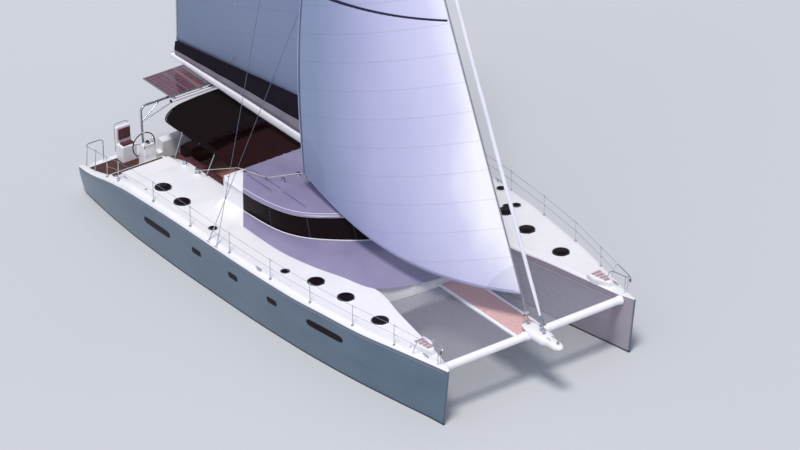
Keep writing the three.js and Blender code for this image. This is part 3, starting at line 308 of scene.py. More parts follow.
def make_sailcloth(name, light_and_shade, patches=()):
    """Tones of painted light and shade run from luff to leech. Patches are corners of double cloth, as (place
    on the cloth, radius).
    """
    made, tree, shader = blank(name, Roughness=0.55, IOR=1.5, Sheen_Weight=0.15, Sheen_Roughness=0.4)
    cloud = place_in_metres(tree, (1 / 2.4, 1 / 2.4, 1 / 4.0))
    noise = add(tree, "ShaderNodeTexNoise", {"Scale": 1.0, "Detail": 3.0}, {"Vector": cloud}).outputs["Fac"]
    share = add(tree, "ShaderNodeUVMap", {"uv_map": "share"}).outputs[0]
    cloth = add(tree, "ShaderNodeUVMap", {"uv_map": "cloth"}).outputs[0]
    back = add(tree, "ShaderNodeSeparateXYZ", links={0: share}).outputs[0]
    drift = add(tree, "ShaderNodeMath", {"operation": "MULTIPLY_ADD", 1: 0.3}, {0: noise, 2: back})
    ramp = add(tree, "ShaderNodeValToRGB", links={0: drift.outputs[0]})
    stops = ramp.color_ramp.elements
    while len(stops) < len(light_and_shade):
        stops.new(0.5)
    for stop, (position, colour) in zip(stops, light_and_shade):
        stop.position = position + 0.15
        stop.color = linear(colour)
    up = add(tree, "ShaderNodeSeparateXYZ", links={0: cloth}).outputs[1]
    masks = [lines_across(tree, up, PANEL, SEAM / PANEL)]
    for centre, radius in patches:
        reach = add(tree, "ShaderNodeVectorMath", {"operation": "DISTANCE", 1: (*centre, 0)}, {0: cloth})
        masks.append(add(tree, "ShaderNodeMath", {"operation": "LESS_THAN", 1: radius},
                         {0: reach.outputs["Value"]}).outputs[0])
    doubled = either(tree, masks)
    faint = add(tree, "ShaderNodeMath", {"operation": "MULTIPLY", 1: 0.14}, {0: doubled})
    painted_over(tree, shader, ramp.outputs[0], ((faint.outputs[0], "#5c6488"),))
    height = add(tree, "ShaderNodeMath", {"operation": "MULTIPLY_ADD", 1: 0.25}, {0: doubled, 2: noise})
    raised_by(tree, shader, height.outputs[0], 0.006)
    return made


# Twisted or braided cord: matt, with the lay of the strands as a slanting rib every 20 mm.
def make_rope(name, low, high, lay=0.02):
    made, tree, shader = blank(name, Roughness=0.88, IOR=1.45)
    vector = place_in_metres(tree, (1 / 0.1,) * 3)
    mottled(tree, shader, low, high, vector)
    strand = add(tree, "ShaderNodeTexWave", {"Scale": 1 / lay, "bands_direction": "DIAGONAL"},
                 {"Vector": place_in_metres(tree)})
    raised_by(tree, shader, strand.outputs["Fac"], 0.001)
    return made


# Metals. Tube and castings have a little salt bloom and fine drawing lines, 10 mm apart so that they show.
def make_metal(name, low, high, rough, drawn=0.01):
    made, tree, shader = blank(name, Metallic=1.0)
    vector = place_in_metres(tree, (1 / 0.4, 1 / drawn, 1 / drawn))
    noise, _ = mottled(tree, shader, low, high, vector)
    rough_between(tree, shader, noise.outputs["Fac"], rough * 0.7, rough * 1.4)
    raised_by(tree, shader, noise.outputs["Fac"], 0.0004)
    return made


# Two-part paint sprayed on alloy: even, with its slight orange peel drawn at 20 mm so that it shows.
def make_paint(name, low, high, rough=0.38):
    made, tree, shader = blank(name, IOR=1.5, Coat_Weight=0.2, Coat_Roughness=0.15)
    vector = place_in_metres(tree, (1 / 0.25,) * 3)
    noise, _ = mottled(tree, shader, low, high, vector)
    rough_between(tree, shader, noise.outputs["Fac"], rough * 0.8, rough * 1.25)
    peel = add(tree, "ShaderNodeTexNoise", {"Scale": 1 / 0.02}, {"Vector": place_in_metres(tree)})
    raised_by(tree, shader, peel.outputs["Fac"], 0.0003)
    return made


# Moulded rubber or glass-filled plastic: dull, with its fine pebble drawn as coarse as `pebble`.
def make_moulded(name, low, high, rough=0.6, pebble=0.008):
    made, tree, shader = blank(name, IOR=1.5)
    noise, _ = mottled(tree, shader, low, high, place_in_metres(tree, (1 / 0.3,) * 3))
    rough_between(tree, shader, noise.outputs["Fac"], rough * 0.85, rough * 1.15)
    grit = add(tree, "ShaderNodeTexNoise", {"Scale": 1 / pebble}, {"Vector": place_in_metres(tree)})
    raised_by(tree, shader, grit.outputs["Fac"], 0.0005)
    return made


# Glazed solar cells 156 mm square: dark maroon under glass, with pale gaps and thin collector lines.
CELL = 0.156


def make_cells():
    made, tree, shader = blank("solar_cells_glazed", IOR=1.5, Roughness=0.12, Coat_Weight=0.8,
                               Coat_Roughness=0.04)
    _, tone = mottled(tree, shader, "#441d2c", "#683847", place_in_metres(tree, (1 / CELL,) * 3))
    place = place_axes(tree)
    gaps = [lines_across(tree, place[axis], step, share)
            for axis, step, share in ((0, CELL, 0.07), (1, CELL, 0.07), (1, CELL / 3, 0.06))]
    painted_over(tree, shader, tone.outputs[2], ((either(tree, gaps), "#8e7480"),))
    return made


GELCOAT = make_gelcoat()
# The deckhouse's white gelcoat drawn grey-lavender: painted shade of the sails.
HOUSE_PAINTED_SHADE = make_gelcoat("gelcoat_deckhouse_painted_shade", "#817c9b", "#9691b3")
TOPSIDES_PAINTED_SHADE = make_hull_gelcoat()
NONSLIP = make_nonslip()
ACRYLIC = make_acrylic()
TEAK = make_teak("teak_bleached", "#a2858b", "#cbaeb4")
TEAK_SOLE = make_teak()
# The walkway's teak drawn paler: painted sunlight where the headsail's shadow falls on it.
TEAK_WALK_PAINTED_LIGHT = make_teak("teak_painted_light", "#c99f9f", "#efcbc8")
# Teak in painted shade: the stern steps, and the benches and locker fronts under the awning.
TEAK_PAINTED_SHADE = make_teak("teak_painted_shade", "#3d201b", "#5f3b33")
SAIL_PATCH = make_cloth("sailcloth_tape", "#9a9dbf", "#b0b3d2", 0.02, 0.0004)
# The mainsail's tapes, a darker copy of the genoa's tape cloth: painted shade.
MAIN_TAPE_PAINTED_SHADE = make_cloth("sailcloth_tape_main_painted_shade", "#5f6884", "#6f7896", 0.02, 0.0004)
SAIL_COVER = make_cloth("sailcloth_cover", "#dcdeec", "#f4f5fb", 0.02, 0.0004)
# The genoa's leech tape, drawn dark partly as painted shade along the curling leech.
LEECH_TAPE = make_cloth("sailcloth_leech", "#4e5d7c", "#63718f", 0.02, 0.0004)
SAIL_STRIPE = make_cloth("sailcloth_stripe", "#26243c", "#34324c", 0.02, 0.0003)
AWNING_CLOTH = make_cloth("canvas_awning_black", "#080204", "#120608", 0.012, 0.0006)
AWNING_BROWN = make_cloth("canvas_awning_brown", "#1a0508", "#2a0b0d", 0.012, 0.0006)
BAG_CLOTH = make_cloth("canvas_bag_black", "#100c18", "#1f1a28", 0.012, 0.0006)
BAND_CLOTH = make_cloth("canvas_bag_grey", "#85808c", "#9b96a2", 0.012, 0.0006)
CUSHION_CLOTH = make_cloth("canvas_cushion", "#472229", "#67363e", 0.01, 0.0008, sheen=0.2)
PIPING = make_cloth("canvas_piping", "#2c1318", "#3d1c22", 0.006, 0.0004)
LEATHER = make_moulded("leather_stitched", "#1d1b1f", "#2e2b30", 0.55, 0.004)
NET_CORD = make_rope("net_polyester", "#8f919f", "#adaebc")
ROPE = make_rope("rope_braided_white", "#c9c6bf", "#ebe8e0")
ROPE_DARK = make_rope("rope_braided_dark", "#2a2d3e", "#474b60")
STEEL = make_metal("steel_polished", "#b3b8bd", "#dfe3e6", 0.2)
WIRE = make_metal("steel_stranded", "#6a7380", "#8d96a3", 0.45)
# The mast drawn dark blue-grey, the tone of its shaded sides: painted shade.
MAST_PAINTED_SHADE = make_paint("paint_mast_painted_shade", "#4b5b77", "#5b6b87", 0.5)
ALLOY = make_metal("aluminium_anodised", "#9da1a6", "#c3c6ca", 0.38)
BRONZE = make_metal("bronze_cast", "#7d5a30", "#b18a52", 0.42)
PAINTED = make_paint("paint_white_alloy", "#f0f2f6", "#fdfdff")
BLACK_ALLOY = make_paint("paint_black_alloy", "#0d0d10", "#19191e", 0.45)
RUBBER = make_moulded("rubber_black", "#16161a", "#26262c", 0.75)
PLASTIC = make_moulded("plastic_grey", "#6c7077", "#83878e", 0.55)
BOTTOM_PAINT = make_moulded("bottom_paint", "#1b2a35", "#2b3d49", 0.9, 0.02)
CELLS = make_cells()
LAMP_GREEN = make_moulded("lens_green", "#0c5a3a", "#12704a", 0.15)
LAMP_RED = make_moulded("lens_red", "#7c1418", "#94201f", 0.15)


# Shapes
def mesh_of(name, shape):
    """Turns a finished bmesh into a mesh."""
    mesh = bpy.data.meshes.new(name)
    shape.to_mesh(mesh)
    shape.free()
    return mesh


def put(name, data):
    """A new object in the scene."""
    made = bpy.data.objects.new(name, data)
    bpy.context.scene.collection.objects.link(made)
    return made


def piece(name, bm, materials, body="root", replaces=(), angle=SMOOTH_ANGLE):
    """Turns a finished bmesh into a piece that rides on a body."""
    bmesh.ops.recalc_face_normals(bm, faces=bm.faces)
    mesh = mesh_of(name, bm)
    for material in materials:
        mesh.materials.append(material)
    mesh.shade_smooth()
    mesh.set_sharp_from_angle(angle=angle)
    made = put(name, mesh)
    if body:
        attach(made, body)
    if replaces:
        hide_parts(*replaces)
    return made


def join_into(bm, shape, material=0):
    """Adds a finished shape to a larger one, in one material."""
    for face in shape.faces:
        face.material_index = material
    mesh = mesh_of("shape", shape)
    bm.from_mesh(mesh)
    bpy.data.meshes.remove(mesh)


def box(bm, low, high, material=0, bevel=0.0, segments=2, turn=None):
    shape = bmesh.new()
    low, high = Vector(low), Vector(high)
    size, middle = high - low, (low + high) / 2
    matrix = Matrix.Translation(middle) @ Matrix.Diagonal((*size, 1))
    bmesh.ops.create_cube(shape, size=1, matrix=matrix)
    if bevel:
        bmesh.ops.bevel(shape, geom=shape.edges[:], offset=min(bevel, min(size) * 0.45), affect="EDGES",
                        segments=segments, profile=0.5, material=-1)
    if turn:
        bmesh.ops.rotate(shape, cent=middle, matrix=turn.to_3x3(), verts=shape.verts)
    join_into(bm, shape, material)


def outward_box(side, low, high):
    """A box whose y range is given outward from the centreline, as two corners in order."""
    near, far = sorted((side * low[1], side * high[1]))
    return (low[0], near, low[2]), (high[0], far, high[2])


def mirrored_box(bm, side, low, high, **settings):
    """A box on one side of the boat, its y range given outward from the centreline."""
    box(bm, *outward_box(side, low, high), **settings)


def turned_to(direction):
    return Vector(direction).to_track_quat("Z", "Y").to_matrix().to_4x4()


def rod(bm, start, end, radius, end_radius=None, sides=12, material=0):
    shape = bmesh.new()
    start, end = Vector(start), Vector(end)
    matrix = Matrix.Translation((start + end) / 2) @ turned_to(end - start)
    bmesh.ops.create_cone(shape, cap_ends=True, segments=sides, radius1=radius,
                          radius2=radius if end_radius is None else end_radius,
                          depth=(end - start).length, matrix=matrix)
    join_into(bm, shape, material)


def ball(bm, centre, radius, material=0, rings=8):
    shape = bmesh.new()
    bmesh.ops.create_uvsphere(shape, u_segments=rings * 2, v_segments=rings, radius=radius,
                              matrix=Matrix.Translation(centre))
    join_into(bm, shape, material)


def lathe(bm, profile, base, direction=(0, 0, 1), sides=20, material=0):
    """Spins a profile of (radius, height) about an axis that starts at `base`."""
    shape = bmesh.new()
    verts = [shape.verts.new((r, 0, h)) for r, h in profile]
    edges = [shape.edges.new(pair) for pair in zip(verts, verts[1:])]
    bmesh.ops.spin(shape, geom=verts + edges, cent=(0, 0, 0), axis=(0, 0, 1), dvec=(0, 0, 0),
                   angle=math.tau, steps=sides, use_merge=True, use_duplicate=False)
    bmesh.ops.remove_doubles(shape, verts=shape.verts, dist=1e-6)
    bmesh.ops.transform(shape, matrix=Matrix.Translation(base) @ turned_to(direction), verts=shape.verts)
    join_into(bm, shape, material)


def rounded(points, radius, steps=4):
    """The same line of points with each inner corner turned on a short curve."""
    made = [Vector(points[0])]
    for before, corner, after in zip(points, points[1:], points[2:]):
        corner = Vector(corner)
        to, away = Vector(before) - corner, Vector(after) - corner
        reach = min(radius, to.length * 0.45, away.length * 0.45)
        enter, leave = corner + to.normalized() * reach, corner + away.normalized() * reach
        for i in range(steps + 1):
            t = i / steps
            made.append(enter * (1 - t) ** 2 + corner * 2 * t * (1 - t) + leave * t ** 2)
    made.append(Vector(points[-1]))
    return made


def stations(points, closed=False, up=(0, 0, 1)):
    """A frame at each point of a line, its Z along the line, carried on without twist."""
    points = [Vector(p) for p in points]
    last = len(points) - 1
    made = []
    aside = None
    for i, point in enumerate(points):
        before = points[i - 1] if closed or i else point
        after = points[(i + 1) % len(points)] if closed or i < last else point
        tangent = (after - before).normalized()
        if aside is None:
            aside = Vector(up).cross(tangent)
            if aside.length < 1e-3:
                aside = Vector((1, 0, 0)).cross(tangent)
        aside = (aside - tangent * aside.dot(tangent)).normalized()
        turn = Matrix((aside, tangent.cross(aside), tangent)).transposed().to_4x4()
        made.append(Matrix.Translation(point) @ turn)
    return made


def grow(shape, loop):
    """Extrudes a loop of edges in place, and returns the new loop and its vertices."""
    geom = bmesh.ops.extrude_edge_only(shape, edges=loop)["geom"]
    fresh = {g for g in geom if isinstance(g, bmesh.types.BMVert)}
    edges = [g for g in geom if isinstance(g, bmesh.types.BMEdge) and set(g.verts) <= fresh]
    return edges, fresh


def sweep(bm, section, frames, closed=False, material=0):
    """Draws a closed section of (x, y) points through a line of frames."""
    shape = bmesh.new()
    ring = [shape.verts.new(frames[0] @ Vector((x, y, 0))) for x, y in section]
    loop = [shape.edges.new(pair) for pair in zip(ring, ring[1:] + ring[:1])]
    first = list(loop)
    if not closed:
        shape.faces.new(ring)
    for before, after in zip(frames, frames[1:]):
        loop, fresh = grow(shape, loop)
        bmesh.ops.transform(shape, matrix=after @ before.inverted(), verts=list(fresh))
    if closed:
        bmesh.ops.bridge_loops(shape, edges=first + loop)
    else:
        bmesh.ops.contextual_create(shape, geom=loop)
    join_into(bm, shape, material)


def disc(radius, sides, wide=1.0):
    """A round or oval section as (x, y) points."""
    return [(radius * wide * math.cos(math.tau * i / sides), radius * math.sin(math.tau * i / sides))
            for i in range(sides)]


def strip(half, low, high):
    """A flat section as (x, y) points."""
    return [(-half, low), (half, low), (half, high), (-half, high)]


def full_turn(count):
    """Equal steps of a whole turn."""
    return np.linspace(0, math.tau, count, endpoint=False)


def tube(bm, points, radius, sides=8, closed=False, material=0):
    sweep(bm, disc(radius, sides), stations(points, closed), closed, material)


def loft(bm, rings, material=0):
    """Carries a closed ring of points through every ring of a list, as a skin over frames."""
    shape = bmesh.new()
    ring = [shape.verts.new(p) for p in rings[0]]
    loop = [shape.edges.new(pair) for pair in zip(ring, ring[1:] + ring[:1])]
    shape.faces.new(ring)
    for points in rings[1:]:
        loop, fresh = grow(shape, loop)
        ring = [next(e.other_vert(v) for e in v.link_edges if e.other_vert(v) in fresh) for v in ring]
        for vert, point in zip(ring, points):
            vert.co = point
    bmesh.ops.contextual_create(shape, geom=loop)
    join_into(bm, shape, material)


def extrude(shape, faces, move):
    """Gives flat faces a thickness."""
    grown = bmesh.ops.extrude_face_region(shape, geom=faces)["geom"]
    verts = [g for g in grown if isinstance(g, bmesh.types.BMVert)]
    bmesh.ops.translate(shape, vec=move, verts=verts)


def plate(bm, outline, low, high, bevel=0.0, segments=2):
    """An outline of (x, y) points raised from `low` to `high`."""
    shape = bmesh.new()
    base = shape.faces.new([shape.verts.new((x, y, low)) for x, y in outline])
    extrude(shape, [base], (0, 0, high - low))
    if bevel:
        rim = [e for e in shape.edges if all(v.co.z > (low + high) / 2 for v in e.verts)]
        bmesh.ops.bevel(shape, geom=rim, offset=bevel, affect="EDGES", segments=segments, profile=0.5,
                        material=-1)
    join_into(bm, shape)


def cut(bm, tool):
    """Cuts a closed shape out of another, and returns what is left."""
    objects = []
    for shape in (bm, tool):
        bmesh.ops.recalc_face_normals(shape, faces=shape.faces)
        objects.append(put("cutting", mesh_of("cutting", shape)))
    whole, cutter = objects
    modifier = whole.modifiers.new("cut", "BOOLEAN")
    modifier.operation = "DIFFERENCE"
    modifier.solver = "EXACT"
    modifier.object = cutter
    result = bpy.data.meshes.new_from_object(whole.evaluated_get(bpy.context.evaluated_depsgraph_get()))
    left = bmesh.new()
    left.from_mesh(result)
    for made in objects:
        bpy.data.objects.remove(made)
    bpy.data.meshes.remove(result)
    return left


def through(xs, ys, x):
    """A smooth curve through a table's points that never swings past them."""
    xs, ys = np.asarray(xs, float), np.asarray(ys, float)
    steps = np.diff(xs)
    slopes = np.diff(ys) / steps
    bends = np.zeros(len(xs))
    bends[0], bends[-1] = slopes[0], slopes[-1]
    for i in range(1, len(xs) - 1):
        if slopes[i - 1] * slopes[i] > 0:
            bends[i] = 2 * slopes[i - 1] * slopes[i] / (slopes[i - 1] + slopes[i])
    i = int(np.clip(np.searchsorted(xs, x) - 1, 0, len(xs) - 2))
    t = (x - xs[i]) / steps[i]
    return float((1 + 2 * t) * (1 - t) ** 2 * ys[i] + t * (1 - t) ** 2 * steps[i] * bends[i]
                 + t * t * (3 - 2 * t) * ys[i + 1] + t * t * (t - 1) * steps[i] * bends[i + 1])


# Hulls
def hull_at(x):
    """The row of hull sizes at any station."""
    return [through(HULL_SECTIONS[:, 0], HULL_SECTIONS[:, k], x) for k in range(HULL_SECTIONS.shape[1])]


def side_out(row, z):
    """|y| of the outer topsides of a station at a height above the water."""
    share = z / row[SHEER]
    return row[OUT_WATER] + (row[OUT_SHEER] - row[OUT_WATER]) * (1.48 * share - 0.48 * share ** 2)


BILGE_STEPS, SIDE_STEPS, GUNWALE_STEPS, DECK_STEPS = 9, 8, 5, 6
BILGE_POWER = 0.9
WALL_FOOT = 0.78


def gunwale(row):
    """How far inboard of the sheer the gunwale's round reaches."""
    return min(0.22, (row[OUT_SHEER] - row[IN_SHEER]) * 0.3)


def hull_ring(row, side):
    """The outline of one station, from the keel up the outer side, over the deck and down the inner side."""
    centre = (row[OUT_WATER] + row[IN_WATER]) / 2
    width = row[OUT_SHEER] - row[IN_SHEER]
    shoulder = gunwale(row)
    inner_foot = min(WALL_FOOT, row[SHEER] * 0.7)

    def bilge(water, i):
        turn = math.pi / 2 * i / BILGE_STEPS
        return (centre + (row[water] - centre) * math.sin(turn) ** BILGE_POWER,
                row[KEEL] * math.cos(turn) ** BILGE_POWER)
    points = [bilge(OUT_WATER, i) for i in range(BILGE_STEPS)]
    for i in range(SIDE_STEPS):
        z = row[SHEER] * i / SIDE_STEPS
        points.append((side_out(row, z), z))
    for i in range(GUNWALE_STEPS + 1):
        turn = math.pi / 2 * i / GUNWALE_STEPS
        points.append((row[OUT_SHEER] - shoulder * (1 - math.cos(turn)),
                       row[SHEER] + (row[DECK] - row[SHEER]) * math.sin(turn)))
    inner_edge = row[IN_SHEER] + width * 0.05
    for i in range(1, DECK_STEPS + 1):
        share = i / DECK_STEPS
        points.append((row[OUT_SHEER] - shoulder + (inner_edge - row[OUT_SHEER] + shoulder) * share,
                       row[DECK]))
    points.append((row[IN_SHEER] + width * 0.01, row[DECK] - width * 0.006))
    points.append((row[IN_SHEER], row[DECK] - width * 0.025))
    for i in range(SIDE_STEPS // 2 + 1):
        share = i / (SIDE_STEPS // 2)
        drop = (inner_foot - row[DECK] + width * 0.03) * share
        points.append((row[IN_SHEER], row[DECK] - width * 0.03 + drop))
    for i in range(1, SIDE_STEPS // 2 + 1):
        share = i / (SIDE_STEPS // 2)
        points.append((row[IN_SHEER] + (row[IN_WATER] - row[IN_SHEER]) * share ** 0.75,
                       inner_foot * (1 - share)))
    points += [bilge(IN_WATER, i) for i in range(BILGE_STEPS - 1, 0, -1)]
    return [Vector((row[0] - row[RAKE] * (1 - max(0.0, z) / row[DECK]), side * y, z)) for y, z in points]


# Stations stand closer together ahead of BOW_START
HULL_STATIONS, BOW_STATIONS, BOW_START = 48, 16, 7.0
# The second material of a hull's skin
WHITE_DECK = 1


def step_rim(x):
    """|y| of the rim outside the stern steps, which follows the sheer."""
    share = (x - STEPS[0][0]) / (STERN - STEPS[0][0])
    return STEP_RIM[0] + (STEP_RIM[1] - STEP_RIM[0]) * share


def step_cutter(side):
    """The stair that the stern steps leave empty, inside a rim that follows the sheer."""
    far = STERN - 0.1
    profile = [(STEPS[0][0], 2.2)]
    for (front, top), following in zip(STEPS, STEPS[1:] + ((far, None),)):
        profile += [(front, top), (following[0], top)]
    profile.append((far, 2.2))
    tool = bmesh.new()
    loft(tool, [[Vector((x, side * 2.2, z)) for x, z in profile],
                [Vector((x, side * step_rim(x), z)) for x, z in profile]], WHITE_DECK)
    nosings = [e for e in tool.edges if abs(e.verts[0].co.y - e.verts[1].co.y) > 1.0
               and any(abs(e.verts[0].co.z - top) < 1e-5 for _, top in STEPS[:2])
               and any(abs(e.verts[0].co.x - front) < 1e-5 for front, _ in STEPS[1:])]
    bmesh.ops.bevel(tool, geom=nosings, offset=0.035, affect="EDGES", segments=3, profile=0.5, material=-1)
    return tool


def hull(name, side):
    along = np.concatenate([np.linspace(STERN, BOW_START, HULL_STATIONS, endpoint=False),
                            np.linspace(BOW_START, STEM, BOW_STATIONS)])
    body = bmesh.new()
    loft(body, [hull_ring(hull_at(x), side) for x in along])
    bmesh.ops.recalc_face_normals(body, faces=body.faces)
    for face in body.faces:
        middle = face.calc_center_median()
        row = hull_at(float(np.clip(middle.x, STERN, STEM)))
        if middle.z > row[SHEER] - 0.015 or (face.normal.x < -0.9 and middle.z > BOOT_TOP):
            face.material_index = WHITE_DECK
    body = cut(body, step_cutter(side))
    seats = bmesh.new()
    for _, x, y in HATCHES:
        rod(seats, (x, side * y, DECK_TOP - 0.008), (x, side * y, DECK_TOP + 0.04), HATCH_RADIUS + 0.012,
            sides=40, material=WHITE_DECK)
    body = cut(body, seats)
    rod(body, (RUDDER_X, side * FIN_Y, 0), (RUDDER_X, side * FIN_Y, -0.385), 0.09, sides=24)
    piece(f"hull_skin_{name}", body, [TOPSIDES_PAINTED_SHADE, GELCOAT], replaces=[f"hull_{name}"], angle=math.radians(28))


def sheer_line(side, start, end, drop, count=60):
    """Points along the sheer, lowered by `drop`."""
    made = []
    for x in np.linspace(start, end, count):
        row = hull_at(float(x))
        z = row[SHEER] - drop
        made.append(Vector((x - row[RAKE] * (1 - z / row[DECK]), side * side_out(row, z), z)))
    return made


# Side windows. Columns: x and z of the middle, length, height
SIDE_WINDOWS = ((-4.12, 1.12, 1.3, 0.2), (-2.07, 1.2, 0.42, 0.16), (-0.21, 1.2, 0.42, 0.16),
                (1.69, 1.22, 0.42, 0.16), (4.05, 1.26, 1.5, 0.2))


def side_windows(name, side):
    """Smoked panes let into the topsides, each bent to the hull and framed by a thin black gasket."""
    bm = bmesh.new()
    for x, z, length, height in SIDE_WINDOWS:
        for grow_by, lift, thick, material in ((0.018, 0.002, 0.004, 1), (0.0, 0.005, 0.004, 0)):
            shape = bmesh.new()
            bmesh.ops.create_grid(shape, x_segments=18, y_segments=6, size=0.5)
            for vert in shape.verts:
                u, v = vert.co.x * 2, vert.co.y * 2
                corner = max(abs(u), abs(v)) / max(1e-6, (abs(u) ** 5 + abs(v) ** 5) ** 0.2)
                px = x + u * corner * (length / 2 + grow_by)
                pz = z + v * corner * (height / 2 + grow_by)
                vert.co = (px, side * (side_out(hull_at(px), pz) + lift), pz)
            extrude(shape, shape.faces[:], (0, side * thick, 0))
            join_into(bm, shape, material)
    piece(f"side_windows_{name}", bm, [ACRYLIC, RUBBER])


def rub_rail(name, side):
    """A soft rail along the sheer, with a dark insert in its groove."""
    bm = bmesh.new()
    rail = [(0.0, -0.03), (0.022, -0.024), (0.03, 0.0), (0.022, 0.024), (0.0, 0.03), (-0.01, 0.0)]
    insert = [(0.02, -0.012), (0.034, -0.008), (0.034, 0.008), (0.02, 0.012)]
    line = stations(sheer_line(side, STERN + 0.05, 8.78, 0.09))
    for section, material in ((rail, 0), (insert, 1)):
        sweep(bm, [(-side * x, z) for x, z in section], line, material=material)
    piece(f"rub_rail_{name}", bm, [PLASTIC, RUBBER])


def stern_teak(name, side):
    """Teak laid on the stern platform and on both steps, with margins of bare gelcoat."""
    bm = bmesh.new()
    ends = (STEPS[1][0], STEPS[2][0], STERN + 0.14)
    for (front, top), aft in zip(STEPS, ends):
        front -= 0.05
        aft += 0.06
        outline = [(aft, side * (HULL_INNER + 0.1)), (front, side * (HULL_INNER + 0.1)),
                   (front, side * (step_rim(front) - 0.12)), (aft, side * (step_rim(aft) - 0.12))]
        plate(bm, outline[::side], top - 0.002, top + 0.008, bevel=0.003)
    # The stern steps' teak is drawn in painted shade.
    piece(f"stern_teak_{name}", bm, [TEAK_PAINTED_SHADE])


# Non-slip panels on the side decks. Columns: aft x, front x
DECK_PANELS = ((-6.35, -5.2), (-3.3, 0.1), (0.25, 2.1), (4.3, 5.05), (5.95, 7.3))


def house_edge(x):
    """|y| of the deckhouse foot at a station, or of the hull's inner edge ahead of it."""
    xs = [p[0] for p in HOUSE_BASE[:6]]
    ys = [p[1] for p in HOUSE_BASE[:6]]
    return through(xs, ys, x) if xs[0] < x < xs[-1] else HULL_INNER


def deck_panels(name, side):
    bm = bmesh.new()
    for aft, front in DECK_PANELS:
        outer, inner = [], []
        for x in np.linspace(aft, front, 9):
            row = hull_at(float(x))
            width = row[OUT_SHEER] - row[IN_SHEER]
            outer.append((float(x), side * (row[OUT_SHEER] - gunwale(row) - 0.06)))
            inner.append((float(x), side * (max(house_edge(x), row[IN_SHEER] + width * 0.08) + 0.09)))
        outline = outer + inner[::-1]
        top = hull_at((aft + front) / 2)[DECK]
        plate(bm, outline[::-side], top - 0.01, top + 0.0025)
    piece(f"deck_nonslip_{name}", bm, [NONSLIP])


def chainplates(name, side):
    """Plates through the gunwale, with the fork, pin and bottle screw at the foot of each shroud."""
    bm = bmesh.new()
    heads = [Vector((x, side * y, z)) for x, y, z in (SPREADER_TIP, LOWER_HEAD)]
    for x, head in zip(CHAINPLATES, heads):
        foot = Vector((x, side * CHAINPLATE_Y, CHAINPLATE_Z))
        rise = (head - foot).normalized()
        mirrored_box(bm, side, (x - 0.05, CHAINPLATE_Y - 0.012, 1.6), (x + 0.05, CHAINPLATE_Y + 0.012, 1.9),
                     bevel=0.01)
        mirrored_box(bm, side, (x - 0.085, CHAINPLATE_Y - 0.05, 1.86),
                     (x + 0.085, CHAINPLATE_Y + 0.05, 1.872), bevel=0.004)
        rod(bm, foot - Vector((0.028, 0, 0)), foot + Vector((0.028, 0, 0)), 0.012)
        rod(bm, foot, foot + rise * 0.05, 0.02, 0.016)
        rod(bm, foot + rise * 0.07, foot + rise * 0.34, 0.019, sides=16)
        rod(bm, foot + rise * 0.05, foot + rise * 0.09, 0.026, sides=6)
        rod(bm, foot + rise * 0.32, foot + rise * 0.36, 0.026, sides=6)
        rod(bm, foot + rise * 0.36, foot + rise * 0.62, 0.014, 0.01)
    piece(f"chainplates_{name}", bm, [STEEL])


# Posts carry two guard wires from the stern rail to the bow pulpit
POSTS = (-6.9, -6.2, -4.3, -2.4, -0.4, 1.6, 3.4, 5.2, 6.8)
POST_HEIGHT, POST_INSET = 0.64, 0.085
WIRE_HEIGHTS = (0.62, 0.33)
# The bent rails, point by point. Columns: x, |y|, z
STERN_RAIL = ((-8.61, 4.08, 1.78), (-8.74, 3.90, 1.74), (-8.76, 3.35, 1.72), (-8.76, 3.35, 0.95))
PULPIT = ((7.50, 3.61, 1.92), (7.75, 3.58, 2.52), (8.55, 3.44, 2.50), (8.68, 3.38, 2.48), (8.55, 3.32, 2.50),
          (7.95, 3.20, 2.50), (7.75, 3.12, 1.92))
# Struts under the bent rails. Columns: x and |y| at the foot, x, |y| and z at the head, z of the foot
STRUTS = ((-7.85, 4.27, -7.85, 4.205, 2.025, 1.2), (-8.72, 4.0, -8.7, 3.96, 1.75, 1.0),
          (8.45, 3.42, 8.5, 3.44, 2.5, 1.9), (8.45, 3.33, 8.5, 3.33, 2.5, 1.9))


def rail_foot(x, side, inset=POST_INSET):
    row = hull_at(float(x))
    return Vector((x, side * (row[OUT_SHEER] - inset), row[DECK] - 0.03))


def guard_rails(name, side):
    bm = bmesh.new()
    feet = [rail_foot(x, side) for x in POSTS]
    tops = [foot + Vector((0, 0, POST_HEIGHT + 0.03)) for foot in feet]
    for foot, top in zip(feet, tops):
        rod(bm, foot, top, 0.0135, 0.012, sides=10)
        lathe(bm, ((0.0, 0.0), (0.045, 0.0), (0.045, 0.018), (0.02, 0.03), (0.018, 0.07), (0.0, 0.07)),
              foot, sides=14)
        ball(bm, top, 0.016, rings=5)
    stern = [tops[0], *((x, side * y, z) for x, y, z in STERN_RAIL)]
    bow = [Vector((x, side * y, z)) for x, y, z in PULPIT]
    for rail in (stern, bow):
        tube(bm, rounded(rail, 0.16, 5), 0.014, sides=10)
    for foot_x, foot_y, x, y, z, low in STRUTS:
        rod(bm, (foot_x, side * foot_y, low), (x, side * y, z), 0.0125, sides=10)
    for height, end in zip(WIRE_HEIGHTS, (bow[1], bow[0].lerp(bow[1], 0.5))):
        line = [foot + Vector((0, 0, height + 0.03)) for foot in feet]
        tube(bm, [*line, end], 0.005, sides=6)
        for place, following in zip(line, [*line[1:], end]):
            along = (following - place).normalized()
            rod(bm, place + along * 0.03, place + along * 0.12, 0.009, sides=8)
    piece(f"guard_rails_{name}", bm, [STEEL], replaces=[f"guard_rail_{name}"])


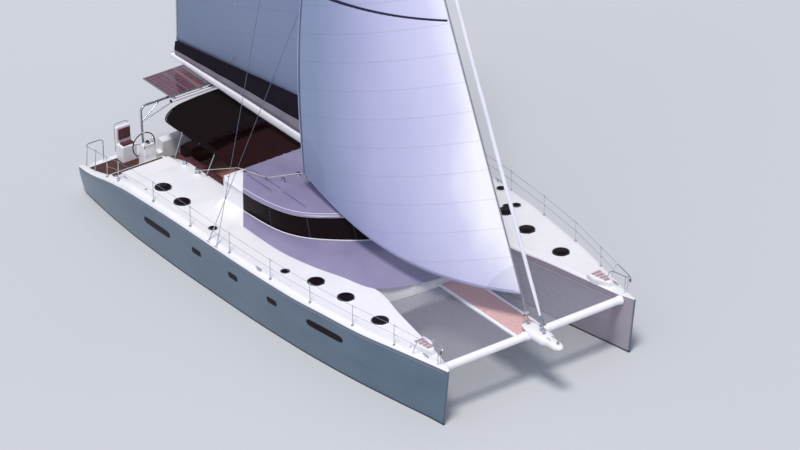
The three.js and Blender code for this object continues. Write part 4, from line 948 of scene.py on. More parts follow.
def cleat(bm, place):
    """A horned cleat on two feet."""
    horn = ((-0.14, 0.058), (-0.084, 0.065), (0.084, 0.065), (0.14, 0.058))
    sweep(bm, disc(0.013, 8, 1.2), stations([place + Vector((x, 0, z)) for x, z in horn]))
    for x in (-0.0448, 0.0448):
        lathe(bm, ((0.0, 0.0), (0.03, 0.0), (0.028, 0.008), (0.015, 0.02), (0.014, 0.062), (0.0, 0.062)),
              place + Vector((x, 0, 0)), sides=12)


def deck_ports(name, side, ports):
    """Small fixed deck ports: a smoked lens in a flush metal ring."""
    bm = bmesh.new()
    for x, y in ports:
        base = (x, side * y, DECK_TOP - 0.004)
        lathe(bm, ((0.0, 0.0), (0.15, 0.0), (0.15, 0.012), (0.135, 0.018), (0.12, 0.018), (0.12, 0.006),
                   (0.0, 0.006)), base, sides=28, material=1)
        lathe(bm, ((0.0, 0.004), (0.118, 0.004), (0.116, 0.017), (0.0, 0.021)), base, sides=28)
    piece(f"deck_ports_{name}", bm, [ACRYLIC, ALLOY])


def hatch(name, x, y, side):
    """An opening hatch: a smoked lens in a round frame, two hinges forward and two catches aft."""
    low = DECK_TOP - 0.008 + GAP
    base = (x, side * y, low)
    bm = bmesh.new()
    lathe(bm, ((0.0, 0.002), (0.215, 0.002), (0.214, 0.022), (0.20, 0.028), (0.0, 0.034)), base, sides=36,
          material=0)
    lathe(bm, ((0.216, 0.0), (0.258, 0.0), (0.26, 0.012), (0.252, 0.028), (0.235, 0.033), (0.216, 0.03),
               (0.216, 0.0)), base, sides=36, material=1)
    for across in (-0.1, 0.1):
        mirrored_box(bm, side, (x + 0.225, y + across - 0.022, low + 0.008),
                     (x + 0.272, y + across + 0.022, low + 0.034), material=1, bevel=0.006)
        mirrored_box(bm, side, (x - 0.2, y + across - 0.035, low + 0.028),
                     (x - 0.16, y + across + 0.035, low + 0.04), material=2, bevel=0.005)
    label = f"{name}_{'starboard' if side < 0 else 'port'}"
    piece(f"hatch_lid_{label}", bm, [ACRYLIC, BLACK_ALLOY, RUBBER], body=f"hatch_{label}",
          replaces=[f"hatch_{label}"])


def hatch_rims(name, side):
    bm = bmesh.new()
    for _, x, y in HATCHES:
        lathe(bm, ((0.2735, -0.006), (0.2735, 0.010), (0.281, 0.014), (0.298, 0.010), (0.302, 0.0),
                   (0.302, -0.006), (0.2735, -0.006)), (x, side * y, DECK_TOP), sides=40)
    piece(f"hatch_rims_{name}", bm, [GELCOAT])


# Deck gear: mooring cleats. Columns: x, how far inboard of the sheer
CLEATS = ((7.9, 0.16), (1.0, 0.12), (-6.35, 0.14))
# Small fixed ports, |y| after x
FIXED_PORTS = {"starboard": ((-1.84, 4.06), (1.53, 3.83)), "port": ((1.37, 4.21), (2.35, 3.69), (2.47, 3.95))}


def deck_gear(name, side):
    bm = bmesh.new()
    for x, inset in CLEATS:
        cleat(bm, rail_foot(x, side, inset) + Vector((0, 0, 0.03)))
    for x in (7.2, -5.0):
        base = (x, side * (hull_at(x)[OUT_SHEER] - 0.3), hull_at(x)[DECK])
        lathe(bm, ((0.0, 0.0), (0.042, 0.0), (0.04, 0.006), (0.03, 0.01), (0.0, 0.01)), base, sides=18)
    piece(f"deck_gear_{name}", bm, [STEEL])


for name, side in SIDES:
    hull(name, side)
    side_windows(name, side)
    rub_rail(name, side)
    stern_teak(name, side)
    deck_panels(name, side)
    chainplates(name, side)
    guard_rails(name, side)
    deck_ports(name, side, FIXED_PORTS[name])
    hatch_rims(name, side)
    deck_gear(name, side)
    for hatch_name, hatch_x, hatch_y in HATCHES:
        hatch(hatch_name, hatch_x, hatch_y, side)


# Deckhouse
HOUSE_STEPS = 85
PILLARS = (1, 5, 8, 11, 17, 20, 23, 27)
PILLAR_STEP = (HOUSE_STEPS - 1) // 28
WALL, GLASS = 0.06, 0.012


def spline(points, count):
    """Evenly spaced points on a smooth curve through a few given ones."""
    given = np.array([tuple(p) for p in points], float)
    given = np.vstack([2 * given[0] - given[1], given, 2 * given[-1] - given[-2]])
    knots = np.concatenate([[0], np.cumsum(np.linalg.norm(np.diff(given, axis=0), axis=1) ** 0.5)])
    dense = []
    for i in range(1, len(given) - 2):
        t = np.linspace(knots[i], knots[i + 1], 24, endpoint=i == len(given) - 3)[:, None]

        def between(a, b, first, last):
            return (a * (knots[last] - t) + b * (t - knots[first])) / (knots[last] - knots[first])
        near = [between(given[i + k], given[i + k + 1], i + k, i + k + 1) for k in (-1, 0, 1)]
        far = [between(near[0], near[1], i - 1, i + 1), between(near[1], near[2], i, i + 2)]
        dense.append(between(far[0], far[1], i, i + 1))
    dense = np.vstack(dense)
    run = np.concatenate([[0], np.cumsum(np.linalg.norm(np.diff(dense, axis=0), axis=1))])
    even = np.linspace(0, run[-1], count)
    return [Vector([float(np.interp(s, run, dense[:, k])) for k in range(dense.shape[1])]) for s in even]


def house_ring(half, z, inset=0.0):
    """The deckhouse outline at a height, from the port quarter round the front, moved inward by `inset`."""
    line = spline([*half, *((x, -y) for x, y in reversed(half[:-1]))], HOUSE_STEPS)
    made = []
    for i, point in enumerate(line):
        tangent = (line[min(i + 1, HOUSE_STEPS - 1)] - line[max(i - 1, 0)]).normalized()
        moved = Vector((point.x + tangent.y * inset, point.y - tangent.x * inset, z))
        if i in (0, HOUSE_STEPS - 1):
            moved = Vector((point.x + inset, point.y - math.copysign(inset, point.y), z))
        made.append(moved)
    return made


def window_ring(z, inset=0.0):
    share = (z - SILL) / (EAVES - SILL)
    return [a.lerp(b, share) for a, b in zip(house_ring(WINDOW_FOOT, z, inset),
                                             house_ring(WINDOW_HEAD, z, inset))]


# Edge of the roof slab, from its soffit out and up to its crown. Columns: inset, z
ROOF_EDGE = ((0.30, 2.78), (0.0, 2.78), (-0.03, 2.785), (-0.055, 2.80), (-0.06, 2.825), (-0.035, 2.852),
             (0.08, 2.873), (0.42, 2.897), (0.9, 2.9))
COAMING_STEPS = 9


# The white quarters: where the painted shadow of the sails on the deckhouse ends, at the window band, and the
# slant of that line
QUARTER = (-1.92, 2.90)
QUARTER_SLANT = -0.72


def paint_quarters(bm, material):
    """Splits the faces along the edge of the sails' painted shadow across both aft corners, and paints what
    is aft of them.
    """
    for _, side in SIDES:
        edge = Vector((QUARTER[0], side * QUARTER[1], 0))
        outward = Vector((QUARTER_SLANT, side, 0)).normalized()
        near = [f for f in bm.faces if any(v.co.x < 0 and v.co.y * side > 0 for v in f.verts)]
        geom = {g for f in near for g in (f, *f.edges, *f.verts)}
        bmesh.ops.bisect_plane(bm, geom=list(geom), plane_co=edge, plane_no=outward)
        for face in bm.faces:
            if (face.calc_center_median() - edge).dot(outward) > 0:
                face.material_index = material


def coachroof():
    bm = bmesh.new()
    rise = SILL - DECK_TOP - GAP
    base, foot = house_ring(HOUSE_BASE, DECK_TOP + GAP), house_ring(WINDOW_FOOT, SILL)
    inner = house_ring(WINDOW_FOOT, SILL, WALL)
    rings = []
    for low, high, back in zip(base, foot, inner):
        outer = []
        for share in np.linspace(0, 1, COAMING_STEPS):
            point = low.lerp(high, float(share))
            point.z = DECK_TOP + GAP + rise * math.sin(share * math.pi / 2) ** 0.85
            outer.append(point)
        rings.append([*outer, back, Vector((back.x, back.y, DECK_TOP + GAP))])
    loft(bm, rings)
    loft(bm, [house_ring(WINDOW_HEAD, z, inset) for inset, z in ROOF_EDGE])
    foot, head = window_ring(SILL - 0.02, GLASS + 0.028), window_ring(EAVES + 0.01, GLASS + 0.028)
    for i in PILLARS:
        rod(bm, foot[i * PILLAR_STEP], head[i * PILLAR_STEP], 0.022, sides=14)
    paint_quarters(bm, 1)
    piece("coachroof_skin", bm, [HOUSE_PAINTED_SHADE, GELCOAT], replaces=["coachroof"])


def window_band():
    """Smoked acrylic bent round the front of the saloon, with black joints over the pillars."""
    bm = bmesh.new()
    rings = zip(window_ring(SILL + GAP), window_ring(EAVES - GAP), window_ring(EAVES - GAP, GLASS),
                window_ring(SILL + GAP, GLASS))
    loft(bm, [list(ring) for ring in rings])
    foot, head = window_ring(SILL + 0.012, -0.001), window_ring(EAVES - 0.012, -0.001)
    joint = strip(0.018, -0.004, 0.0015)
    for i in PILLARS:
        k = i * PILLAR_STEP
        outward = (foot[k] - foot[k - 1]).cross(Vector((0, 0, 1)))
        sweep(bm, joint, stations([foot[k], head[k]], up=-outward), material=1)
    paint_quarters(bm, 2)
    piece("saloon_glass", bm, [ACRYLIC, RUBBER, GELCOAT], replaces=["saloon_windows"])


def house_trim():
    """Pale beads above and below the window band, and a drip rail round the roof."""
    bm = bmesh.new()
    tube(bm, house_ring(WINDOW_FOOT, SILL + 0.004, -0.012), 0.014, sides=8)
    tube(bm, window_ring(EAVES - 0.012, -0.006), 0.011, sides=8)
    tube(bm, house_ring(WINDOW_HEAD, 2.868, 0.045), 0.009, sides=6)
    piece("house_trim", bm, [GELCOAT])


# Hand rails on the coachroof, each a bent tube on three feet. Columns: aft x, front x, |y|
HANDRAILS = ((-2.5, -1.2, 2.35), (-1.0, 0.2, 2.1))


def mast_block(k, z):
    """Where one of the turning blocks stands, on a ring abaft the mast."""
    turn = math.radians(200 + k * 35)
    return Vector((0.27 * math.cos(turn), 0.27 * math.sin(turn), z))


def roof_gear():
    """Grab rails, the halyard winches, rope clutches and turning blocks round the mast foot, and vents."""
    bm = bmesh.new()
    for _, side in SIDES:
        for aft, front, y in HANDRAILS:
            points = [(aft, side * y, 2.86), (aft + 0.05, side * y, 2.955), (front - 0.05, side * y, 2.955),
                      (front, side * y, 2.86)]
            tube(bm, rounded(points, 0.06), 0.0125, sides=10, material=2)
            rod(bm, ((aft + front) / 2, side * y, 2.86), ((aft + front) / 2, side * y, 2.955), 0.011, sides=8,
                material=2)
    for x, y in ((-1.56, -1.13), (-1.56, 1.13), (-1.53, -1.71)):
        winch(bm, (x, y, 2.893), 0.06)
    for x, y in ((-0.9, -1.02), (-0.9, 1.02)):
        for k in range(4):
            low = (x - 0.1, y - 0.1 + k * 0.052, 2.895)
            box(bm, low, (x + 0.1, low[1] + 0.044, 2.955), material=1, bevel=0.012)
            box(bm, (x - 0.02, low[1] + 0.008, 2.95), (x + 0.085, low[1] + 0.036, 2.975), material=1,
                bevel=0.008)
    for k in range(5):
        lathe(bm, ((0.0, 0.0), (0.03, 0.0), (0.032, 0.02), (0.02, 0.03), (0.02, 0.045), (0.03, 0.055),
                   (0.0, 0.06)), mast_block(k, 2.9), sides=14)
    for side in (-1, 1):
        lathe(bm, ((0.0, 0.0), (0.09, 0.0), (0.085, 0.015), (0.05, 0.02), (0.045, 0.07), (0.0, 0.07)),
              (0.55, side * 1.3, 2.868))
    piece("roof_gear", bm, [STEEL, PLASTIC, HOUSE_PAINTED_SHADE])


def winch(bm, base, radius):
    """A two-speed winch: base flange and waisted drum with a rope jaw on top, sized by the drum's radius."""
    profile = [(0.0, 0.0), (1.15, 0.0), (1.15, 0.06), (0.98, 0.14), (0.78, 0.3), (0.72, 0.8), (0.78, 1.2),
               (1.02, 1.36), (1.05, 1.44), (0.9, 1.48), (0.95, 1.56), (0.9, 1.68), (0.3, 1.75), (0.0, 1.75)]
    lathe(bm, [(r * radius, h * radius) for r, h in profile], base, sides=24)


def roof_lines():
    """Halyards and reefing lines led aft from the mast foot through the clutches to the winches."""
    bm = bmesh.new()
    for k in range(4):
        for side in (-1, 1):
            start = mast_block(k if side < 0 else 4 - k, 2.93)
            y = side * 1.02 - 0.08 + k * 0.052
            tube(bm, [start, Vector((-0.8, y, 2.925)), Vector((-1.3, y, 2.925)),
                      Vector((-1.55, side * (0.93 + 0.01 * k), 2.95))], 0.006, sides=6, material=k % 2)
    piece("roof_lines", bm, [ROPE, ROPE_DARK])


# Panes in the aft bulkhead. Columns: low y, high y
BULKHEAD_PANES = ((-2.1, -1.15), (0.18, 1.0), (1.15, 2.1))
PANE_Z = (1.65, 2.6)
DOOR_PANE = ((-0.84, -0.08), (1.5, 2.54))
DOOR_AFT = -2.905


def window_frame(bm, x, ys, zs, wide, thick, material):
    """A rounded rectangular frame on a wall that faces fore and aft."""
    (y0, y1), (z0, z1) = ys, zs
    middle = Vector((x, (y0 + y1) / 2, z0))
    corners = [middle, (x, y1, z0), (x, y1, z1), (x, y0, z1), (x, y0, z0), middle]
    line = rounded(corners, 0.06, 6)[1:-1]
    sweep(bm, strip(thick / 2, -wide / 2, wide / 2), stations([middle, *line], closed=True), closed=True,
          material=material)


def bulkhead_windows():
    bm = bmesh.new()
    for ys in BULKHEAD_PANES:
        window_frame(bm, BULKHEAD[0] + 0.012, ys, PANE_Z, 0.05, 0.02, 1)
        box(bm, (BULKHEAD[0] + 0.02, ys[0] - 0.002, PANE_Z[0] - 0.002),
            (BULKHEAD[0] + 0.03, ys[1] + 0.002, PANE_Z[1] + 0.002), bevel=0.003)
    piece("bulkhead_windows", bm, [ACRYLIC, ALLOY])
    bm = bmesh.new()
    box(bm, (DOOR_AFT + 0.01, DOOR_PANE[0][0] - 0.003, DOOR_PANE[1][0] - 0.003),
        (DOOR_AFT + 0.02, DOOR_PANE[0][1] + 0.003, DOOR_PANE[1][1] + 0.003), bevel=0.003)
    window_frame(bm, DOOR_AFT - 0.001, DOOR_PANE[0], DOOR_PANE[1], 0.045, 0.012, 2)
    points = [(DOOR_AFT, -0.9, 1.75), (DOOR_AFT - 0.05, -0.9, 1.75), (DOOR_AFT - 0.05, -0.9, 2.15),
              (DOOR_AFT, -0.9, 2.15)]
    tube(bm, rounded(points, 0.04), 0.011, sides=10, material=1)
    piece("door_pane", bm, [ACRYLIC, STEEL, RUBBER], body="saloon_door")


coachroof()
window_band()
house_trim()
roof_gear()
roof_lines()
bulkhead_windows()


# Forward beam, walkway, nose pod and nets
WALK_AFT, WALK_HALF, WALK_TOP = 4.4, 0.52, 1.75
# Columns: x, half width, low z, high z
SPRIT_SECTIONS = ((8.08, 0.15, 1.88, 1.93), (8.3, 0.23, 1.84, 1.975), (8.7, 0.27, 1.70, 1.99),
                  (9.05, 0.255, 1.69, 1.985),
                  (9.3, 0.17, 1.73, 1.945), (9.55, 0.165, 1.74, 1.935), (9.72, 0.11, 1.78, 1.905),
                  (9.78, 0.04, 1.82, 1.865))


def crossbeam():
    bm = bmesh.new()
    reach = hull_at(BEAM_X)[IN_SHEER] + 0.02
    rod(bm, (BEAM_X, -reach, BEAM_Z), (BEAM_X, reach, BEAM_Z), BEAM_RADIUS, sides=40)
    for _, side in SIDES:
        lathe(bm, ((BEAM_RADIUS, -0.09), (BEAM_RADIUS + 0.012, -0.085), (BEAM_RADIUS + 0.02, -0.01),
                   (BEAM_RADIUS + 0.03, 0.02), (BEAM_RADIUS, 0.02)), (BEAM_X, side * (reach - 0.02), BEAM_Z),
              (0, side, 0), sides=40)
    for x in (-1, 1):
        box(bm, (BEAM_X + x * 0.16 - 0.02, -0.3, BEAM_Z - 0.02),
            (BEAM_X + x * 0.16 + 0.02, 0.3, BEAM_Z + 0.05), bevel=0.01)
    piece("crossbeam_tube", bm, [PAINTED], replaces=["crossbeam"])


def walkway():
    bm = bmesh.new()
    front = BEAM_X - BEAM_RADIUS - 0.02
    box(bm, (WALK_AFT + 0.14, -WALK_HALF, WALK_TOP - 0.09), (front, WALK_HALF, WALK_TOP - 0.004),
        bevel=0.02, segments=3, material=1)
    box(bm, (WALK_AFT + 0.14, -0.13, WALK_TOP - 0.3), (front, 0.13, WALK_TOP - 0.04), bevel=0.03,
        segments=3, material=1)
    outline = [(WALK_AFT + 0.2, -0.42), (front - 0.06, -0.42), (front - 0.06, 0.42), (WALK_AFT + 0.2, 0.42)]
    plate(bm, outline, WALK_TOP - 0.006, WALK_TOP, bevel=0.002)
    # Its planks are drawn paler as painted sunlight.
    piece("walkway_planked", bm, [TEAK_WALK_PAINTED_LIGHT, GELCOAT], replaces=["walkway"])


def rounded_ring(x, half, low, high, count=28, power=0.7):
    made = []
    for i in range(count):
        turn = math.tau * i / count
        c, s = (math.copysign(abs(v) ** power, v) for v in (math.cos(turn), math.sin(turn)))
        made.append(Vector((x, half * c, (low + high) / 2 + (high - low) / 2 * s)))
    return made


def sections_at(table, x):
    xs = [row[0] for row in table]
    return [through(xs, [row[k] for row in table], x) for k in range(1, len(table[0]))]


def sprit():
    bm = bmesh.new()
    loft(bm, [rounded_ring(x, *sections_at(SPRIT_SECTIONS, x)) for x in np.linspace(8.08, 9.78, 36).tolist()])
    piece("sprit_pod", bm, [GELCOAT], replaces=["sprit"])
    bm = bmesh.new()
    for foot, _ in (INNER_STAY, OUTER_STAY):
        rod(bm, foot - Vector((0, 0, 0.12)), foot, 0.014)
        rod(bm, foot - Vector((0, 0.02, 0)), foot + Vector((0, 0.02, 0)), 0.018, sides=14)
        lathe(bm, ((0.0, 0.0), (0.06, 0.0), (0.055, 0.012), (0.02, 0.02), (0.0, 0.02)),
              (foot.x, 0, sections_at(SPRIT_SECTIONS, foot.x)[2] - 0.006), sides=20)
    for side in (-1, 1):
        hoop = [(9.2, side * 0.08, 1.93), (9.2, side * 0.08, 1.985), (9.36, side * 0.08, 1.985),
                (9.36, side * 0.08, 1.92)]
        tube(bm, rounded(hoop, 0.03), 0.008, sides=8)
    lathe(bm, ((0.0, 0.0), (0.05, 0.0), (0.05, 0.03), (0.03, 0.04), (0.03, 0.06), (0.045, 0.07),
               (0.0, 0.075)), (9.6, 0, 1.925), sides=18)
    piece("sprit_fittings", bm, [STEEL])


def net(name, side):
    """Crossed cords with a heavier border, sagging a little between hull, beam, walkway and bridgedeck."""
    def outer(x):
        row = hull_at(x)
        lean = float(np.clip((NET_TOP - WALL_FOOT) / (row[DECK] - WALL_FOOT), 0, 1))
        return row[IN_WATER] + (row[IN_SHEER] - row[IN_WATER]) * max(lean, 0.98)
    aft, front = 4.66, BEAM_X - BEAM_RADIUS - 0.02
    near = WALK_HALF + 0.03

    def sag(x, y):
        u = (x - aft) / (front - aft)
        v = (y - near) / (outer(x) - near)
        return NET_TOP - NET_SAG * 16 * max(0.0, u * (1 - u) * v * (1 - v)) - 0.004

    def aft_edge(y):
        return 4.45 + 0.2 * (1 - min(1.0, (y / HULL_INNER) ** 2))
    bm = bmesh.new()
    spacing = 0.042
    square = strip(0.0042, -0.0042, 0.0042)
    widest = outer(aft)
    reach = max(outer(float(x)) for x in np.linspace(aft, front, 9))
    for y in np.arange(near + spacing / 2, reach, spacing):
        xs = [x for x in np.linspace(aft_edge(y) + 0.02, front, 26).tolist() if y < outer(x) - 0.01]
        if len(xs) > 2:
            sweep(bm, square, stations([(x, side * y, sag(x, y)) for x in xs]))
    for x in np.arange(aft - 0.12, front, spacing):
        ys = [y for y in np.linspace(near, outer(float(x)) - 0.01, 16).tolist() if aft_edge(y) < x]
        if len(ys) > 2:
            sweep(bm, square, stations([(x, side * y, sag(x, y) + 0.004) for y in ys]))
    border = [(aft_edge(y) + 0.02, side * y, NET_TOP) for y in np.linspace(near, widest - 0.05, 12)]
    border += [(x, side * (outer(float(x)) - 0.03), NET_TOP) for x in np.linspace(aft, front, 22)]
    border += [(front, side * y, NET_TOP) for y in np.linspace(outer(front) - 0.08, near, 10)]
    tube(bm, [*border, (aft_edge(near) + 0.02, side * near, NET_TOP)], 0.011, sides=6)
    piece(f"net_cords_{name}", bm, [NET_CORD], replaces=[f"net_{name}"])


crossbeam()
walkway()
sprit()
for name, side in SIDES:
    net(name, side)


# Mast and standing rigging
def mast_ring(z, scale=1.0, count=28):
    """Oval mast section with a flattened aft face, thinner towards the top."""
    made = []
    for i in range(count):
        turn = math.tau * i / count
        x = MAST_CHORD * math.cos(turn) * scale
        y = MAST_HALF * math.sin(turn) * scale
        made.append(Vector((max(x, -MAST_CHORD * scale * 0.93), y, z)))
    return made


def mast():
    bm = bmesh.new()
    loft(bm, [mast_ring(z, s) for z, s in ((2.94, 1.0), (12.0, 1.0), (19.0, 0.98), (21.5, 0.88),
                                           (22.76, 0.72))])
    loft(bm, [mast_ring(z, s) for z, s in ((2.9003, 1.35), (2.925, 1.35), (2.94, 1.28), (2.945, 1.0))])
    # sail track up the aft face
    box(bm, (-0.178, -0.014, 3.5), (-0.15, 0.014, 22.4), bevel=0.004)
    for _, side in SIDES:
        tip = Vector((SPREADER_TIP[0], side * SPREADER_TIP[1], SPREADER_TIP[2]))
        root = Vector((-0.02, side * 0.06, SPREADER_TIP[2] - 0.06))
        wing = [(0.09 * math.cos(t), 0.022 * math.sin(t)) for t in full_turn(16)]
        frames = stations([root, root.lerp(tip, 0.5), tip])
        frames = [f @ Matrix.Diagonal((s, s, 1, 1)) for f, s in zip(frames, (1.0, 0.85, 0.5))]
        sweep(bm, wing, frames)
        ball(bm, tip, 0.045, rings=8)
        for z in (22.4, LOWER_HEAD[2]):
            box(bm, (-0.09, side * 0.09 - 0.01, z - 0.09), (0.09, side * 0.09 + 0.01, z + 0.09), bevel=0.008)
    for z in (GOOSENECK_Z - 0.085, GOOSENECK_Z + 0.045):
        box(bm, (-0.3, -0.045, z), (-0.15, 0.045, z + 0.04), bevel=0.008)
    rod(bm, (-0.255, 0, GOOSENECK_Z - 0.1), (-0.255, 0, GOOSENECK_Z + 0.1), 0.014)
    for _, head in (INNER_STAY, OUTER_STAY):
        box(bm, (0.1, -0.012, head.z - 0.08), (0.2, 0.012, head.z + 0.08), bevel=0.008)
        rod(bm, head - Vector((0, 0.028, 0)), head + Vector((0, 0.028, 0)), 0.016, sides=12)
    box(bm, (-0.22, -0.05, 22.66), (0.2, 0.05, 22.78), bevel=0.02)
    # The mast's dark blue-grey is painted shade.
    piece("mast_section", bm, [MAST_PAINTED_SHADE], replaces=["mast"])


def halyards():
    """Halyards up the mast, and the two winches that tend them."""
    bm = bmesh.new()
    for x, y, top, material in ((0.12, 0.1, 19.6, 0), (0.05, 0.112, 21.0, 1), (0.12, -0.1, 18.2, 0),
                                (-0.02, -0.113, 22.3, 1)):
        tube(bm, [(x, y, 3.0), (x, y, 12.0), (x * 0.8, y * 0.85, top)], 0.007, sides=6, material=material)
    piece("halyards", bm, [ROPE, ROPE_DARK])
    bm = bmesh.new()
    for side in (-1, 1):
        rod(bm, (0, side * 0.09, 4.1), (0, side * 0.125, 4.1), 0.075, sides=24)
        shape = bmesh.new()
        winch(shape, (0, 0, 0), 0.06)
        bmesh.ops.transform(shape, matrix=Matrix.Translation((0, side * 0.12, 4.1)) @ turned_to((0, side, 0)),
                            verts=shape.verts)
        join_into(bm, shape)
    piece("mast_winches", bm, [STEEL])


# Furling drums. Columns: radius, distance up the stay
DRUM = ((0.13, 0.17), (0.13, 0.195), (0.07, 0.205), (0.07, 0.33), (0.13, 0.34), (0.13, 0.365),
        (0.045, 0.42), (0.045, 0.7))
SMALL_DRUM = ((0.105, 0.16), (0.105, 0.18), (0.06, 0.19), (0.06, 0.29), (0.105, 0.3), (0.105, 0.32),
              (0.035, 0.36), (0.035, 0.43))
STAY_END = 0.0453


def forestays():
    foot, head = INNER_STAY
    length = (head - foot).length
    bm = bmesh.new()
    profile = [(0.0, STAY_END), (0.018, STAY_END), (0.024, 0.16), *DRUM, (0.024, 0.72), (0.024, length - 0.5),
               (0.04, length - 0.48), (0.04, length - 0.36), (0.018, length - 0.34),
               (0.012, length - STAY_END), (0.0, length - STAY_END)]
    lathe(bm, profile, foot, head - foot, sides=28)
    rise = (head - foot).normalized()
    for k in range(6):
        lathe(bm, ((0.066, 0.215 + k * 0.018), (0.078, 0.219 + k * 0.018), (0.078, 0.227 + k * 0.018),
                   (0.066, 0.231 + k * 0.018)), foot, rise, sides=20, material=1)
    piece("headstay_furler", bm, [ALLOY, ROPE], replaces=["forestay_inner"])
    foot, head = OUTER_STAY
    length = (head - foot).length
    rise = (head - foot).normalized()
    bm = bmesh.new()
    profile = [(0.0, STAY_END), (0.012, STAY_END), (0.012, 0.15), *SMALL_DRUM, (0.016, 0.44), (0.012, 0.47),
               (0.012, length - 0.88), (0.03, length - 0.86), (0.03, length - 0.75), (0.012, length - 0.73),
               (0.012, length - STAY_END), (0.0, length - STAY_END)]
    lathe(bm, profile, foot, rise, sides=24)
    piece("outer_stay_furler", bm, [ALLOY])
    # the furled sail: cloth rolled round the stay, its free edge winding up it
    bm = bmesh.new()
    spindle = [(0.47, 0.035), (0.9, 0.05), (1.5, 0.058), (length * 0.3, 0.064), (length * 0.65, 0.054),
               (length - 1.6, 0.038), (length - 0.9, 0.025)]
    roll = [(1 - 0.16 * i / 23, math.tau * i / 24) for i in range(24)]
    frames, basis = [], stations([foot, head])[0].to_3x3().to_4x4()
    for run in np.linspace(0.47, length - 0.9, 150).tolist():
        radius = through([p[0] for p in spindle], [p[1] for p in spindle], run)
        frames.append(Matrix.Translation(foot + rise * run) @ basis @ Matrix.Rotation(run * 2.1, 4, "Z")
                      @ Matrix.Diagonal((radius, radius, 1, 1)))
    sweep(bm, [(radius * math.cos(turn), radius * math.sin(turn)) for radius, turn in roll], frames)
    piece("furled_sail", bm, [SAIL_COVER], replaces=["forestay_outer"],
          angle=math.radians(60))


# Sails
GENOA_TACK, GENOA_HEAD, GENOA_BELLY, FOOT_DROOP = 2.78, 18.3, 0.085, 0.42
LEECH_HOLLOW, LEECH_TWIST = 0.1, 1.15
CLEW = Vector((-0.8, -1.5, 3.45))
# The mainsail's leech. Columns: z, x
LEECH = ((3.72, -9.59), (9.0, -9.35), (14.0, -7.9), (18.5, -5.4), (21.3, -2.8), (22.3, -1.3))
MAIN_LUFF, MAIN_FOOT, MAIN_HEAD, MAIN_BELLY = -0.24, 4.87, 22.3, 0.055

# Painted light and shade across each sail: the genoa lit through at the luff and shaded towards the leech,
# the mainsail all in shade. Columns: share of the way from luff to leech, colour
GENOA_PAINTED_LIGHT_AND_SHADE = ((0.0, "#f6f8ff"), (0.12, "#d3d4f1"), (0.5, "#b5b7dd"), (0.85, "#8797b8"))
MAIN_PAINTED_SHADE = ((0.0, "#858fb2"), (0.5, "#7c8bab"), (0.85, "#7084a1"))
# Doubled corners. Columns: share up and share back of the corner, radius
GENOA_CORNERS = (((0, 1), 1.3), ((0, 0), 1.0), ((1, 1), 1.1))
MAIN_CORNERS = (((0, 1), 1.4), ((0, 0), 1.1), ((1, 1), 1.5))
# Rise of the panel seams for each metre forward of the clew
CLOTH_SLANT = 0.35


def genoa_point(up, back):
    foot, head = INNER_STAY

    def on_stay(z):
        return foot.x + (head.x - foot.x) * (z - foot.z) / (head.z - foot.z)
    luff_z = GENOA_TACK + (GENOA_HEAD - GENOA_TACK) * up
    lean = math.atan2(foot.x - head.x, head.z - foot.z)
    luff_x = on_stay(luff_z) - (0.024 + GAP) / math.cos(lean)
    leech = CLEW.lerp(Vector((on_stay(GENOA_HEAD) - 0.18, -0.01, GENOA_HEAD)), up)
    leech.y -= LEECH_TWIST * math.sin(math.pi * up)
    chord = math.hypot(leech.x - on_stay(luff_z), leech.y)
    depth = 4 * back * (1 - back) * (1 + 0.6 * (0.5 - back)) * chord * GENOA_BELLY
    droop = FOOT_DROOP * 4 * back * (1 - back) * (1 - up) ** 6
    hollow = math.sin(math.pi * up) * LEECH_HOLLOW * back
    return Vector((luff_x + (leech.x - luff_x) * back + hollow, leech.y * back - depth,
                   luff_z + (leech.z - luff_z) * back - droop))


LEECH_CURVE = spline([(x, z) for z, x in LEECH], 201)


def main_point(up, back):
    at = up * (len(LEECH_CURVE) - 1)
    k = min(int(at), len(LEECH_CURVE) - 2)
    leech = LEECH_CURVE[k].lerp(LEECH_CURVE[k + 1], at - k)
    luff_z = MAIN_FOOT + (MAIN_HEAD - MAIN_FOOT) * up
    depth = 4 * back * (1 - back) * (MAIN_LUFF - leech.x) * MAIN_BELLY * math.sin(math.pi * up) ** 0.5
    return Vector((MAIN_LUFF + (leech.x - MAIN_LUFF) * back, -depth, luff_z + (leech.y - luff_z) * back))


def cloth_area(mesh):
    return sum(polygon.area for polygon in mesh.polygons)


def on_bolt(place):
    """Where a point of a sail lies on the cloth, in metres, with the panels running up from the clew."""
    return place.x, place.z - CLOTH_SLANT * (place.x - CLEW.x)


def sail(name, point, rows, columns, material, body, replaces, thick=0.004):
    """A grid of cloth laid on the sail's surface, with one UV map in metres and one in shares of its size."""
    bm = bmesh.new()
    bmesh.ops.create_grid(bm, x_segments=columns, y_segments=rows, size=0.5)
    cloth, share = (bm.loops.layers.uv.new(layer) for layer in ("cloth", "share"))
    shares = {v: (v.co.y + 0.5, v.co.x + 0.5) for v in bm.verts}
    for vert, (up, back) in shares.items():
        vert.co = point(min(max(up, 0.0), 1.0), min(max(back, 0.0), 1.0))
    for face in bm.faces:
        for loop in face.loops:
            up, back = shares[loop.vert]
            loop[cloth].uv = on_bolt(loop.vert.co)
            loop[share].uv = (back, up)
    made = piece(name, bm, [material], body=body, replaces=replaces, angle=math.radians(80))
    area = cloth_area(made.data)
    thicken = made.modifiers.new("cloth", "SOLIDIFY")
    thicken.thickness = thick
    thicken.offset = 0
    return made, area


